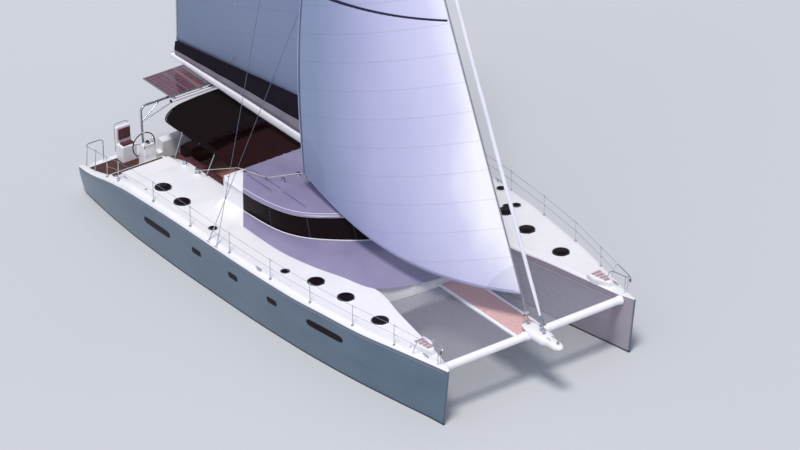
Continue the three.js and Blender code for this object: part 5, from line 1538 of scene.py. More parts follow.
GENOA_CLOTH = make_sailcloth("sailcloth_genoa_painted_light", GENOA_PAINTED_LIGHT_AND_SHADE, [(on_bolt(genoa_point(*corner)), radius)
                                                              for corner, radius in GENOA_CORNERS])
MAIN_CLOTH = make_sailcloth("sailcloth_main_painted_shade", MAIN_PAINTED_SHADE, [(on_bolt(main_point(*corner)), radius)
                                                           for corner, radius in MAIN_CORNERS])
genoa, genoa_area = sail("genoa_cloth", genoa_point, 150, 90, GENOA_CLOTH, "root", ["genoa"])
mainsail, main_area = sail("mainsail_cloth", main_point, 150, 80, MAIN_CLOTH, "boom", ["mainsail"])
mast()
halyards()
forestays()


# Boom and stowage bag. Columns: x, half width, low z, high z; the bag's: x, half widths low and high, top z
BOOM_SECTIONS = ((-0.42, 0.09, 3.05, 3.34), (-0.9, 0.12, 3.01, 3.37), (-6.0, 0.12, 3.01, 3.34),
                 (-9.8, 0.09, 3.06, 3.22))
BAG_SECTIONS = ((-0.345, 0.06, 0.05, 4.87), (-0.9, 0.15, 0.08, 4.82), (-3.35, 0.15, 0.08, 4.54),
                (-6.0, 0.14, 0.08, 4.18), (-9.6, 0.09, 0.06, 3.69))


def straight(table, x, column):
    rows = sorted(table)
    return float(np.interp(x, [row[0] for row in rows], [row[column] for row in rows]))


def boom():
    bm = bmesh.new()
    loft(bm, [rounded_ring(x, *(straight(BOOM_SECTIONS, x, k) for k in (1, 2, 3)))
              for x in np.linspace(-9.8, -0.42, 30).tolist()])
    box(bm, (-0.48, -0.035, GOOSENECK_Z - 0.0447), (-0.22, 0.035, GOOSENECK_Z + 0.0447), bevel=0.01,
        material=1)
    box(bm, (-9.8, -0.07, 3.05), (-9.77, 0.07, 3.23), bevel=0.02, material=1)
    for x in (-2.6, SHEET_X):
        hoop = [(x, -0.06, 3.04), (x, -0.05, 2.995), (x, 0.05, 2.995), (x, 0.06, 3.04)]
        tube(bm, rounded(hoop, 0.03), 0.011, sides=8, material=1)
    piece("boom_spar", bm, [PAINTED, ALLOY], body="boom", replaces=["boom"])


def bag_side(x, share):
    """Half width and height of the stowage bag at a share of its way up."""
    low = straight(BOOM_SECTIONS, x, 3)
    top = straight(BAG_SECTIONS, x, 3)
    wide, narrow = straight(BAG_SECTIONS, x, 1), straight(BAG_SECTIONS, x, 2)
    half = wide if share < 0.5 else wide + (narrow - wide) * (share - 0.5) * 2
    foot = 0.55 + 0.45 * min(1.0, share / 0.12)
    sag = 1 + 0.06 * math.sin(x * 5.2 + share * 3) * math.sin(share * math.pi)
    return half * foot * sag * 0.96, low + (top - low) * share


BAG_STEPS = 14
BAND_SHARE = 0.36


def bag():
    bm = bmesh.new()
    rings = []
    for x in np.linspace(-9.58, -0.36, 90).tolist():
        side = [bag_side(x, share) for share in np.linspace(0, 1, BAG_STEPS).tolist()]
        rings.append([Vector((x, y, z + GAP)) for y, z in side]
                     + [Vector((x, -y, z + GAP)) for y, z in reversed(side)])
    loft(bm, rings)
    bmesh.ops.recalc_face_normals(bm, faces=bm.faces)
    for face in bm.faces:
        middle = face.calc_center_median()
        low, top = straight(BOOM_SECTIONS, middle.x, 3), straight(BAG_SECTIONS, middle.x, 3)
        face.material_index = 1 if (middle.z - low) / (top - low) < BAND_SHARE else 0
    made = piece("stowage_bag", bm, [BAG_CLOTH, BAND_CLOTH], body="boom",
                 replaces=["sail_bag"], angle=math.radians(50))


boom()
bag()


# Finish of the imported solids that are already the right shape
def finish_node(node, material, radius=0.0, segments=3):
    """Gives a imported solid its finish, and rounds its edges as a moulding's are."""
    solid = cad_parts[node]
    solid.data.materials.clear()
    solid.data.materials.append(material)
    if radius:
        weld = solid.modifiers.new("weld", "WELD")
        weld.merge_threshold = 0.00005
        bevel = solid.modifiers.new("edges", "BEVEL")
        bevel.width = radius
        bevel.segments = segments
        bevel.limit_method = "ANGLE"
        bevel.angle_limit = math.radians(40)
        bevel.harden_normals = True


SHROUDS = ("cap_shroud_low", "cap_shroud_high", "lower_shroud")
# Columns: node, finish, edge radius
CARRIED = (("bridgedeck", GELCOAT, 0.02), ("saloon_bulkhead", GELCOAT, 0.006), ("saloon_door", ALLOY, 0.004),
           # The cockpit benches take teak in painted shade.
           ("cockpit_benches", TEAK_PAINTED_SHADE, 0.03), ("helm_console_starboard", GELCOAT, 0.035),
           ("helm_console_port", GELCOAT, 0.035), ("helm_seat_starboard", GELCOAT, 0.03),
           ("helm_seat_port", GELCOAT, 0.03),
           *((f"{wire}_{name}", WIRE, 0.0) for name, _ in SIDES for wire in SHROUDS))
for carried in CARRIED:
    finish_node(*carried)


# Keels, rudders and drives
# Columns: z, front x, aft x, half thickness
KEEL_LEVELS = ((-0.30, 1.50, -1.90, 0.170), (-0.80, 1.35, -1.65, 0.150), (-1.26, 1.115, -1.512, 0.122),
               (-1.29, 1.09, -1.49, 0.105), (-1.30, 1.03, -1.44, 0.06))
RUDDER_LEVELS = ((-0.4147, -7.60, -8.17, 0.045), (-1.27, -7.638, -8.052, 0.031),
                 (-1.295, -7.65, -8.04, 0.024), (-1.30, -7.68, -8.0, 0.012))
DRIVE_LEVELS = ((-0.30, -5.70, -6.08, 0.05), (-0.70, -5.72, -6.06, 0.05), (-0.93, -5.74, -6.03, 0.06))
FOIL_STEPS = 14


def foil(front, aft, half, z, y):
    """A symmetrical fin section, round in front and thin behind."""
    upper = []
    for i in range(FOIL_STEPS + 1):
        s = (1 - math.cos(math.pi * i / FOIL_STEPS)) / 2
        width = 2.969 * math.sqrt(s) - 1.26 * s - 3.516 * s ** 2 + 2.843 * s ** 3 - 1.015 * s ** 4
        upper.append((front + (aft - front) * s, half * width))
    lower = [(x, -w) for x, w in reversed(upper[1:])]
    return [Vector((x, y + w, z)) for x, w in upper[1:] + lower] + [Vector((front, y, z))]


def fins(name, side):
    y = side * FIN_Y
    bm = bmesh.new()
    loft(bm, [foil(front, aft, half, z, y) for z, front, aft, half in KEEL_LEVELS])
    piece(f"keel_fin_{name}", bm, [BOTTOM_PAINT], replaces=[f"keel_{name}"])
    bm = bmesh.new()
    loft(bm, [foil(front, aft, half, z, y) for z, front, aft, half in RUDDER_LEVELS])
    rod(bm, (RUDDER_X, y, -0.44), (RUDDER_X, y, -0.3853), 0.045, sides=24, material=1)
    piece(f"rudder_blade_{name}", bm, [BOTTOM_PAINT, STEEL], body=f"rudder_{name}",
          replaces=[f"rudder_{name}"])
    bm = bmesh.new()
    loft(bm, [foil(front, aft, half, z, y) for z, front, aft, half in DRIVE_LEVELS])
    lathe(bm, ((0.0, -6.09), (0.034, -6.09), (0.036, -6.07), (0.07, -5.98), (0.076, -5.9), (0.074, -5.82),
               (0.06, -5.76), (0.03, -5.742), (0.0, -5.74)), (0, y, DRIVE_Z), (1, 0, 0), sides=28)
    box(bm, (-6.05, y - 0.09, -0.735), (-5.76, y + 0.09, -0.72), bevel=0.006)
    piece(f"drive_leg_{name}", bm, [BOTTOM_PAINT], replaces=[f"saildrive_{name}"])


# Propeller blades. Columns: radius, chord, thickness, angle from the disc in degrees
BLADE = ((0.03, 0.06, 0.02, 58), (0.08, 0.10, 0.014, 44), (0.14, 0.125, 0.010, 34), (0.20, 0.115, 0.007, 27),
         (0.24, 0.08, 0.005, 23), (0.26, 0.03, 0.003, 21))


def propeller(name, side):
    centre = Vector((-6.145, side * FIN_Y, DRIVE_Z))
    bm = bmesh.new()
    lathe(bm, ((0.0, -0.055), (0.016, -0.053), (0.03, -0.04), (0.045, -0.01), (0.053, 0.03),
               (0.055, 0.0545), (0.0, 0.0545)), centre, (1, 0, 0), sides=28)
    for k in range(3):
        turn = Matrix.Translation(centre) @ Matrix.Rotation(math.tau * k / 3, 4, "X")
        rings = []
        for radius, chord, thick, angle in BLADE:
            twist = Matrix.Rotation(math.radians(side * angle), 4, "Z")
            ring = [(thick / 2 * math.cos(t), chord / 2 * math.sin(t)) for t in full_turn(16)]
            rings.append([turn @ twist @ Vector((x, y, radius)) for x, y in ring])
        loft(bm, rings)
    piece(f"propeller_blades_{name}", bm, [BRONZE], body=f"propeller_{name}",
          replaces=[f"propeller_{name}"], angle=math.radians(50))


for name, side in SIDES:
    fins(name, side)
    propeller(name, side)


# Soles
SOLE_AFT, BENCH_NEAR = -6.74, 1.65


def soles():
    """Planked soles of the cockpit and the saloon, with a bare gutter all round."""
    bm = bmesh.new()
    for aft, front, half, low in ((SOLE_AFT, BULKHEAD[0] - 0.06, BENCH_NEAR - 0.03, COCKPIT_SOLE),
                                  (BULKHEAD[1] + 0.02, 2.08, HULL_INNER - 0.04, SALOON_SOLE)):
        plate(bm, [(aft + 0.01, -half), (front, -half), (front, half), (aft + 0.01, half)], low + 0.0005,
              low + 0.009, bevel=0.003)
    piece("soles_planked", bm, [TEAK_SOLE])


# Benches, cushions and the other pads
BENCH_TOP, PAD_TOP = 1.5003, 1.61
PAD_SWELL, PAD_FRAMES = 0.018, 20


def swollen(shape, voxel):
    """Fills a slack cover: remeshes it evenly, blows it up as cloth, and lets no point move far."""
    cover = put("cover", mesh_of("cover", shape))
    remesh = cover.modifiers.new("even", "REMESH")
    remesh.mode = "VOXEL"
    remesh.voxel_size = voxel
    depsgraph = bpy.context.evaluated_depsgraph_get()
    even = bpy.data.meshes.new_from_object(cover.evaluated_get(depsgraph))
    cover.modifiers.clear()
    cover.data = even
    flat = np.array([v.co for v in even.vertices])
    cloth = cover.modifiers.new("fill", "CLOTH")
    cloth.settings.use_pressure = True
    cloth.settings.uniform_pressure_force = 4
    cloth.settings.effector_weights.gravity = 0
    cloth.settings.quality = 4
    cloth.collision_settings.use_collision = False
    cloth.point_cache.frame_end = PAD_FRAMES
    for step in range(1, PAD_FRAMES + 1):
        bpy.context.scene.frame_set(step)
    blown = cover.evaluated_get(bpy.context.evaluated_depsgraph_get()).to_mesh()
    moves = np.array([v.co for v in blown.vertices]) - flat
    reach = np.linalg.norm(moves, axis=1, keepdims=True)
    flat += moves * np.minimum(1.0, PAD_SWELL / np.maximum(reach, 1e-9))
    bpy.context.scene.frame_set(1)
    for vert, place in zip(even.vertices, flat):
        vert.co = place
    made = bmesh.new()
    made.from_mesh(even)
    bpy.data.objects.remove(cover)
    return made


def pads(name, boxes, rest, voxel, channels=1, node=None):
    """Foam pads in one cover cloth: each crowned and pulled in, with a piped edge and sewn channels.

    A pad is flat on the face it rests on: underneath, or behind where it leans on a wall."""
    shape = bmesh.new()
    for low, high in boxes:
        slack = Vector((0.016,) * 3)
        box(shape, Vector(low) + slack, Vector(high) - slack, bevel=0.02, segments=3)
    bm = swollen(shape, voxel)
    axis, sign, level = rest
    lie = min(sign * (low if sign > 0 else high)[axis] for low, high in boxes)
    for vert in bm.verts:
        if sign * vert.co[axis] < lie + 0.012:
            vert.co[axis] = sign * lie
    for low, high in boxes:
        long_axis = max((0, 1, 2), key=lambda k: high[k] - low[k])
        for k in range(channels):
            middle = low[long_axis] + (high[long_axis] - low[long_axis]) * (k + 1) / (channels + 1)
            for vert in bm.verts:
                inside = all(low[i] - 0.05 < vert.co[i] < high[i] + 0.05 for i in range(3))
                if inside and sign * vert.co[axis] > lie + 0.03:
                    vert.co[axis] -= sign * 0.014 * math.exp(-((vert.co[long_axis] - middle) / 0.02) ** 2)
    surface = BVHTree.FromBMesh(bm)
    across = [k for k in range(3) if k != axis]
    for low, high in boxes:
        ring = []
        for u, v in ((0, 0), (1, 0), (1, 1), (0, 1)):
            corner = [0.0, 0.0, 0.0]
            corner[axis] = (high if sign > 0 else low)[axis] - sign * 0.022
            corner[across[0]] = (low, high)[u][across[0]]
            corner[across[1]] = (low, high)[v][across[1]]
            ring.append(Vector(corner))
        start = (ring[0] + ring[1]) / 2
        line = rounded([start, *ring[1:], ring[0], start], 0.05, 4)[:-1]
        dense = [a.lerp(b, t) for a, b in zip(line, line[1:] + line[:1]) for t in (0, 0.25, 0.5, 0.75)]
        seats = [surface.find_nearest(p)[0] for p in dense]
        seats = [p for p, q in zip(seats, seats[1:] + seats[:1]) if (p - q).length > 0.004]
        tube(bm, seats, 0.0055, sides=6, closed=True, material=1)
    made = piece(name, bm, [CUSHION_CLOTH, PIPING], replaces=[node] if node else (),
                 angle=math.radians(60))
    smooth = made.modifiers.new("smooth", "SUBSURF")
    smooth.levels = smooth.render_levels = level
    return made


def split(low, high, axis, count, gap=0.012):
    """Cuts one long box into equal ones along an axis, a little apart."""
    made = []
    step = (high[axis] - low[axis]) / count
    for k in range(count):
        near, far = list(low), list(high)
        near[axis] = low[axis] + step * k + gap / 2
        far[axis] = low[axis] + step * (k + 1) - gap / 2
        made.append((tuple(near), tuple(far)))
    return made


def cushions():
    for name, side in SIDES:
        seat = outward_box(side, (-6.48, 1.655, BENCH_TOP), (-3.52, 2.275, PAD_TOP))
        pads(f"bench_pads_{name}", split(*seat, 0, 3), (2, 1, 1), 0.024, 2, f"bench_cushion_{name}")
        back = outward_box(side, (-6.45, 2.17, 1.64), (-3.55, 2.285, 1.93))
        pads(f"backrest_pads_{name}", split(*back, 0, 3), (1, -side, 1), 0.022)
        seat = outward_box(side, (-8.53, 2.49, BENCH_TOP), (-8.25, 2.95, 1.575))
        pads(f"helm_seat_pad_{name}", [seat], (2, 1, 1), 0.014)
        back = outward_box(side, (-8.5597, 2.49, 1.62), (-8.49, 2.95, 2.01))
        pads(f"helm_back_pad_{name}", [back], (0, 1, 1), 0.014)
    aft = ((-7.255, -1.475, BENCH_TOP), (-6.755, 1.475, PAD_TOP))
    pads("bench_pads_aft", split(*aft, 1, 3), (2, 1, 1), 0.024, 1, "bench_cushion_aft")


LATCH = ((0.0, 0.0), (0.022, 0.0), (0.022, 0.005), (0.012, 0.007), (0.0, 0.007))


def lockers():
    """Lids on the fronts of the three benches, each with a latch."""
    bm = bmesh.new()
    for _, side in SIDES:
        for k in range(3):
            aft = -6.42 + k * 0.98
            mirrored_box(bm, side, (aft, BENCH_NEAR - 0.008, 1.14), (aft + 0.9, BENCH_NEAR + 0.004, 1.42),
                         bevel=0.006)
            lathe(bm, LATCH, (aft + 0.45, side * (BENCH_NEAR - 0.008), 1.37), (0, -side, 0), sides=18,
                  material=1)
    for k in range(3):
        low = -1.44 + k * 0.97
        box(bm, (-6.754, low, 1.14), (-6.742, low + 0.9, 1.42), bevel=0.005)
        lathe(bm, LATCH, (-6.742, low + 0.45, 1.37), (1, 0, 0), sides=18, material=1)
    # The locker fronts take teak in painted shade.
    piece("locker_fronts", bm, [TEAK_PAINTED_SHADE, STEEL])


# Cockpit table
TABLE_AFT, TABLE_FRONT, TABLE_Y, TABLE_TOP = -5.65, -4.15, (0.55, 1.35), 1.79


def table():
    """A planked top with a raised fiddle and a joint down its middle, on two flanged legs."""
    bm = bmesh.new()
    (near, far), low = TABLE_Y, TABLE_TOP - 0.035
    corners = [(TABLE_AFT, near), (TABLE_FRONT, near), (TABLE_FRONT, far), (TABLE_AFT, far)]
    start = ((TABLE_AFT + TABLE_FRONT) / 2, near)
    outline = rounded([(x, y, 0) for x, y in (start, *corners[1:], corners[0], start)], 0.09, 6)[:-1]
    plate(bm, [(p.x, p.y) for p in outline], low, TABLE_TOP, bevel=0.006)
    ring = [Vector((p.x, p.y, TABLE_TOP)) for p in outline]
    centre = Vector((-4.9, 0.95, TABLE_TOP))
    fiddle = [p + (centre - p).normalized() * 0.02 for p in ring]
    sweep(bm, strip(0.008, -0.004, 0.006), stations(fiddle, closed=True), closed=True)
    box(bm, (TABLE_AFT + 0.03, 0.948, TABLE_TOP - 0.002), (TABLE_FRONT - 0.03, 0.952, TABLE_TOP + 0.0006),
        material=2)
    for x in (-5.3, -4.5):
        rod(bm, (x, 0.95, COCKPIT_SOLE + 0.01), (x, 0.95, low), 0.045, sides=28, material=1)
        lathe(bm, ((0.045, 0.0), (0.11, 0.0), (0.11, 0.006), (0.07, 0.014), (0.045, 0.02)),
              (x, 0.95, COCKPIT_SOLE + 0.009), sides=28, material=1)
        lathe(bm, ((0.045, -0.02), (0.07, -0.014), (0.12, -0.006), (0.12, 0.0), (0.045, 0.0)),
              (x, 0.95, low), sides=28, material=1)
    piece("table_planked", bm, [TEAK_SOLE, ALLOY, RUBBER], replaces=["cockpit_table"])


soles()
cushions()
lockers()
table()


# Helm stations
HELM_X, HELM_Y, AXLE_Z = -7.25, 2.72, 1.88
WHEEL_X, WHEEL_RADIUS, RIM_RADIUS = -7.4553, 0.4, 0.018


def steering_wheel(name, side):
    """A leather rim on five thin spokes, with a cast boss and a cord wound round the rim at its top."""
    centre = Vector((WHEEL_X, side * HELM_Y, AXLE_Z))
    bm = bmesh.new()
    rim = [centre + Vector((0, math.cos(t), math.sin(t))) * WHEEL_RADIUS for t in full_turn(72)]
    tube(bm, rim, RIM_RADIUS, sides=12, closed=True, material=1)
    for k in range(5):
        turn = math.pi / 2 + math.tau * k / 5
        out = Vector((0, math.cos(turn), math.sin(turn)))
        rod(bm, centre + out * 0.03, centre + out * (WHEEL_RADIUS - 0.008), 0.0095, 0.0075, sides=10)
        rod(bm, centre + out * (WHEEL_RADIUS - 0.045), centre + out * (WHEEL_RADIUS - 0.012), 0.011, 0.017,
            sides=12)
    lathe(bm, ((0.0, -0.0297), (0.04, -0.0297), (0.054, -0.018), (0.055, 0.0), (0.05, 0.02), (0.03, 0.03),
               (0.0, 0.03)), centre, (-1, 0, 0), sides=28)
    for k in range(-3, 4):
        turn = math.pi / 2 + k * 0.03
        around = centre + Vector((0, math.cos(turn), math.sin(turn))) * WHEEL_RADIUS
        lathe(bm, ((RIM_RADIUS, -0.005), (RIM_RADIUS + 0.004, 0.0), (RIM_RADIUS, 0.005)), around,
              (0, -math.sin(turn), math.cos(turn)), sides=14, material=2)
    piece(f"wheel_rim_{name}", bm, [STEEL, LEATHER, ROPE], body=f"wheel_{name}",
          replaces=[f"steering_wheel_{name}"])


def helm_gear(name, side):
    """Compass, two displays, the throttle and a grab hoop on each console, and a rail behind the seat."""
    bm = bmesh.new()
    y = side * HELM_Y
    lathe(bm, ((0.0, 0.0), (0.085, 0.0), (0.085, 0.02), (0.07, 0.035), (0.066, 0.05), (0.0, 0.05)),
          (HELM_X, y, 2.019), sides=28, material=1)
    ball(bm, (HELM_X, y, 2.06), 0.06, rings=10)
    lean = Matrix.Rotation(math.radians(10.6), 4, "Y")
    for across in (-0.11, 0.11):
        middle = y + across
        box(bm, (HELM_X - 0.128, middle - 0.075, 1.925), (HELM_X - 0.112, middle + 0.075, 2.005),
            material=1, bevel=0.008, turn=lean)
        box(bm, (HELM_X - 0.132, middle - 0.062, 1.938), (HELM_X - 0.122, middle + 0.062, 1.992),
            material=0, bevel=0.002, turn=lean)
    base = Vector((HELM_X + 0.02, y - side * 0.17, 2.02))
    lathe(bm, ((0.0, 0.0), (0.03, 0.0), (0.028, 0.03), (0.0, 0.035)), base, sides=18, material=2)
    rod(bm, base + Vector((0, 0, 0.02)), base + Vector((0.05, 0, 0.13)), 0.008, sides=10, material=2)
    ball(bm, base + Vector((0.05, 0, 0.135)), 0.02, material=1, rings=7)
    hoop = [(HELM_X + 0.1, y - 0.19, 1.9), (HELM_X + 0.16, y - 0.19, 2.13), (HELM_X + 0.16, y + 0.19, 2.13),
            (HELM_X + 0.1, y + 0.19, 1.9)]
    tube(bm, rounded(hoop, 0.09, 6), 0.0125, sides=12, material=2)
    piece(f"helm_gear_{name}", bm, [ACRYLIC, PLASTIC, STEEL])
    bm = bmesh.new()
    rail = [(-8.65, side * 2.47, 1.2), (-8.7, side * 2.47, 2.12), (-8.7, side * 2.97, 2.12),
            (-8.65, side * 2.97, 1.2)]
    tube(bm, rounded(rail, 0.12, 6), 0.0125, sides=12)
    piece(f"helm_backrail_{name}", bm, [STEEL])


for name, side in SIDES:
    steering_wheel(name, side)
    helm_gear(name, side)


# Awning
AWNING_AFT, AWNING_FRONT, AWNING_HALF, AWNING_EDGE, AWNING_CROWN = -7.66, -3.06, 2.10, 2.62, 2.80
BAY_AFT, BAY_FRONT, BAY_HALF = -5.3, -4.7, 1.9
BOWS = (-7.05, -6.3, -5.4, -4.6)
CORNER = (-7.05, 1.15)  # x and |y| of the point that each rounded aft corner is struck from
LEG_STATIONS = (-6.3, -4.6)
CLOTH_DROP = 0.027


def awning_height(y):
    return AWNING_EDGE + (AWNING_CROWN - AWNING_EDGE) * (1 - (y / AWNING_HALF) ** 2)


def awning_edge(inset, count=12):
    """The cloth's aft edge from above, from starboard to port, round both corners, drawn in by an inset."""
    long, wide = CORNER[0] - AWNING_AFT - inset, AWNING_HALF - CORNER[1] - inset
    turns = np.linspace(0, math.pi / 2, count + 1).tolist()
    arc = [(CORNER[0] - long * math.sin(t), CORNER[1] + wide * math.cos(t)) for t in turns]
    flat = [(AWNING_AFT + inset, y) for y in (-0.6, 0.0, 0.6)]
    return [(x, -y) for x, y in arc] + flat + arc[::-1]


def awning_frame():
    """Bent tubes under the cloth, side tubes joining them, and four flanged legs on the side decks."""
    bm = bmesh.new()
    tube(bm, [(x, y, awning_height(y) - 0.0465) for x, y in awning_edge(0.04)], 0.0155, sides=12)
    for x in BOWS:
        across = np.linspace(-AWNING_HALF + 0.03, AWNING_HALF - 0.03, 25)
        tube(bm, [(x, y, awning_height(y) - 0.0505) for y in across], 0.0195, sides=14)
    for _, side in SIDES:
        tube(bm, [(x, side * 2.06, 2.5625) for x in (-7.07, -6.0, -4.58)], 0.0175, sides=14)
        for x in LEG_STATIONS:
            deck = hull_at(x)[DECK]
            foot, head = Vector((x, side * 2.38, deck)), Vector((x, side * 2.07, 2.56))
            rod(bm, foot, head, 0.021, sides=16)
            lathe(bm, ((0.0, 0.0), (0.05, 0.0), (0.05, 0.012), (0.028, 0.02), (0.026, 0.06), (0.0, 0.06)),
                  foot, sides=20)
            ball(bm, head, 0.027, rings=7)
        for x in BOWS:
            ball(bm, (x, side * 2.065, awning_height(2.065) - 0.05), 0.026, rings=7)
    piece("awning_tubes", bm, [STEEL], replaces=["awning_frame"])


def stepped(start, stops):
    """Grid lines from a start through each (end, count)."""
    made = [start]
    for end, count in stops:
        made += np.linspace(made[-1], end, count + 1)[1:].tolist()
    return made


def awning():
    """Canvas stretched over the bows, slack between them, with a bound opening over the cockpit's middle."""
    xs = stepped(AWNING_AFT, ((BAY_AFT, 34), (BAY_FRONT, 12), (AWNING_FRONT, 28)))
    ys = stepped(-AWNING_HALF, ((-BAY_HALF, 4), (BAY_HALF, 44), (AWNING_HALF, 4)))
    held = (AWNING_AFT, *BOWS, AWNING_FRONT)

    def height(x, y):
        k = max(i for i in range(len(held) - 1) if held[i] <= x + 1e-6)
        share = (x - held[k]) / (held[k + 1] - held[k])
        slack = 0.016 * math.sin(math.pi * min(1.0, share)) * (held[k + 1] - held[k])
        crease = 0.0025 * math.sin(y * 9 + x * 2.3) * math.sin(math.pi * min(1.0, share))
        return awning_height(y) - CLOTH_DROP - slack + crease
    bm = bmesh.new()
    bmesh.ops.create_grid(bm, x_segments=len(xs) - 1, y_segments=len(ys) - 1, size=0.5)
    for vert in bm.verts:
        x = xs[round((vert.co.x + 0.5) * (len(xs) - 1))]
        y = ys[round((vert.co.y + 0.5) * (len(ys) - 1))]
        if x < BAY_AFT:
            past = max(0.0, abs(y) - CORNER[1]) / (AWNING_HALF - CORNER[1])
            edge = CORNER[0] + (AWNING_AFT - CORNER[0]) * math.sqrt(max(0.0, 1 - past ** 2))
            x = BAY_AFT + (x - BAY_AFT) * (edge - BAY_AFT) / (AWNING_AFT - BAY_AFT)
        vert.co = (x, y, height(x, y))
    bay = [f for f in bm.faces if BAY_AFT < f.calc_center_median().x < BAY_FRONT
           and abs(f.calc_center_median().y) < BAY_HALF]
    bmesh.ops.delete(bm, geom=bay, context="FACES")
    for face in bm.faces:
        face.material_index = 1 if face.calc_center_median().x > BAY_FRONT else 0
    made = piece("awning_cloth", bm, [AWNING_CLOTH, AWNING_BROWN], replaces=["awning"],
                 angle=math.radians(60))
    thicken = made.modifiers.new("cloth", "SOLIDIFY")
    thicken.thickness = 0.003
    bm = bmesh.new()
    strap = strip(0.02, -0.0035, 0.0035)
    aft, front, half, side = BAY_AFT - 0.02, BAY_FRONT + 0.02, BAY_HALF + 0.02, AWNING_HALF - 0.012
    bay_edge = [(aft, -half), (front, -half), (front, half), (aft, half), (aft, -half)]
    outer_edge = [(CORNER[0], side), (AWNING_FRONT - 0.012, side), (AWNING_FRONT - 0.012, -side),
                  (CORNER[0], -side)]
    for edge in (bay_edge, outer_edge):
        for (x0, y0), (x1, y1) in zip(edge, edge[1:]):
            line = [(x0 + (x1 - x0) * t, y0 + (y1 - y0) * t) for t in np.linspace(0, 1, 41)]
            sweep(bm, strap, stations([(x, y, height(x, y)) for x, y in line]))
    sweep(bm, strap, stations([(x, y, height(x, y)) for x, y in awning_edge(0.012)]))
    for y in np.linspace(-1.9, 1.9, 13).tolist():
        tube(bm, [(AWNING_FRONT - 0.02, y, awning_height(y) - CLOTH_DROP), (-2.95, y, 2.86)], 0.004,
             sides=6, material=1)
    binding = piece("awning_binding", bm, [AWNING_CLOTH, ROPE])


# Stern arch, panels and mainsheet traveller
ARCH_X, ARCH_Y, ARCH_Z, ARCH_RADIUS = -8.1, 2.38, 2.80, 0.038
TRAVELLER = (-7.8, -7.7, 1.5, 2.81, 2.89)


def sheave(bm, place, axis, radii, halves, material=0):
    """A grooved wheel. Radii of its faces, rims and groove, and half widths at its faces and rims."""
    (face, rim, groove), (wide, lip) = radii, halves
    upper = [(0.0, wide), (face, wide), (rim, lip)]
    lower = [(radius, -height) for radius, height in upper]
    lathe(bm, [*lower, (groove, 0.0), *upper[::-1]], place, axis, material=material)


def arch():
    """Two raked legs and a beam of round tube, with rails for the panels and the traveller in front of it."""
    bm = bmesh.new()
    for _, side in SIDES:
        foot, head = Vector((-7.95, side * ARCH_Y, 0.95)), Vector((ARCH_X, side * ARCH_Y, ARCH_Z))
        tube(bm, rounded([foot, head, (ARCH_X, side * 0.6, ARCH_Z)], 0.22, 8), ARCH_RADIUS, sides=20)
        lathe(bm, ((0.0, 0.0), (0.09, 0.0), (0.09, 0.014), (0.05, 0.024), (0.044, 0.09), (0.0, 0.09)), foot,
              sides=28)
        brace = foot.lerp(head, 0.72)
        tube(bm, rounded([brace, (ARCH_X + 0.01, side * 1.7, ARCH_Z - 0.02)], 0.1), 0.019, sides=12)
        rod(bm, brace, (TRAVELLER[1] - 0.05, side * 1.45, TRAVELLER[3] + 0.01), 0.019, sides=12)
    rod(bm, (ARCH_X, -0.62, ARCH_Z), (ARCH_X, 0.62, ARCH_Z), ARCH_RADIUS, sides=20)
    for y in (-1.3, -0.3, 0.3, 1.3):
        box(bm, (-9.33, y - 0.025, 2.812), (-7.78, y + 0.025, 2.8944), bevel=0.008, segments=3)
        box(bm, (ARCH_X - 0.05, y - 0.035, 2.79), (ARCH_X + 0.05, y + 0.035, 2.85), bevel=0.012)
    piece("arch_tubes", bm, [STEEL], replaces=["stern_arch"])
    bm = bmesh.new()
    aft, front, half, low, high = TRAVELLER
    box(bm, (aft, -half, low), (front, half, high), bevel=0.018, segments=4)
    box(bm, (aft + 0.032, -half + 0.06, high - 0.004), (front - 0.032, half - 0.06, high + 0.006),
        bevel=0.003, material=1)
    for _, side in SIDES:
        mirrored_box(bm, side, (aft - 0.004, half - 0.03, low - 0.004),
                     (front + 0.004, half + 0.006, high + 0.004), bevel=0.012, segments=3, material=1)
    box(bm, (aft + 0.01, -0.09, high + 0.002), (front - 0.01, 0.09, high + 0.026), bevel=0.01, material=1)
    sheave(bm, (SHEET_X, 0, high + 0.045), (0, 1, 0), (0.03, 0.034, 0.026), (0.016, 0.01), material=2)
    piece("traveller_beam", bm, [PAINTED, RUBBER, PLASTIC])


def mainsheet():
    """The tackle between the traveller car and the boom."""
    bm = bmesh.new()
    for dx, dy in ((-0.02, -0.02), (0.02, -0.02), (-0.02, 0.02), (0.02, 0.02)):
        rod(bm, (SHEET_X + dx, dy, 2.935), (SHEET_X + dx, dy, 2.985), 0.006, sides=8)
    made = piece("mainsheet", bm, [ROPE], body=None)
    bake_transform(made)
    bm = bmesh.new()
    sheave(bm, (SHEET_X, 0, 2.986), (0, 1, 0), (0.022, 0.026, 0.02), (0.016, 0.01))
    piece("boom_block", bm, [PLASTIC], body="boom")


PANEL_X, PANEL_Y, PANEL_Z = (-9.37, -7.85), (0.015, 1.42), (2.895, 2.93)


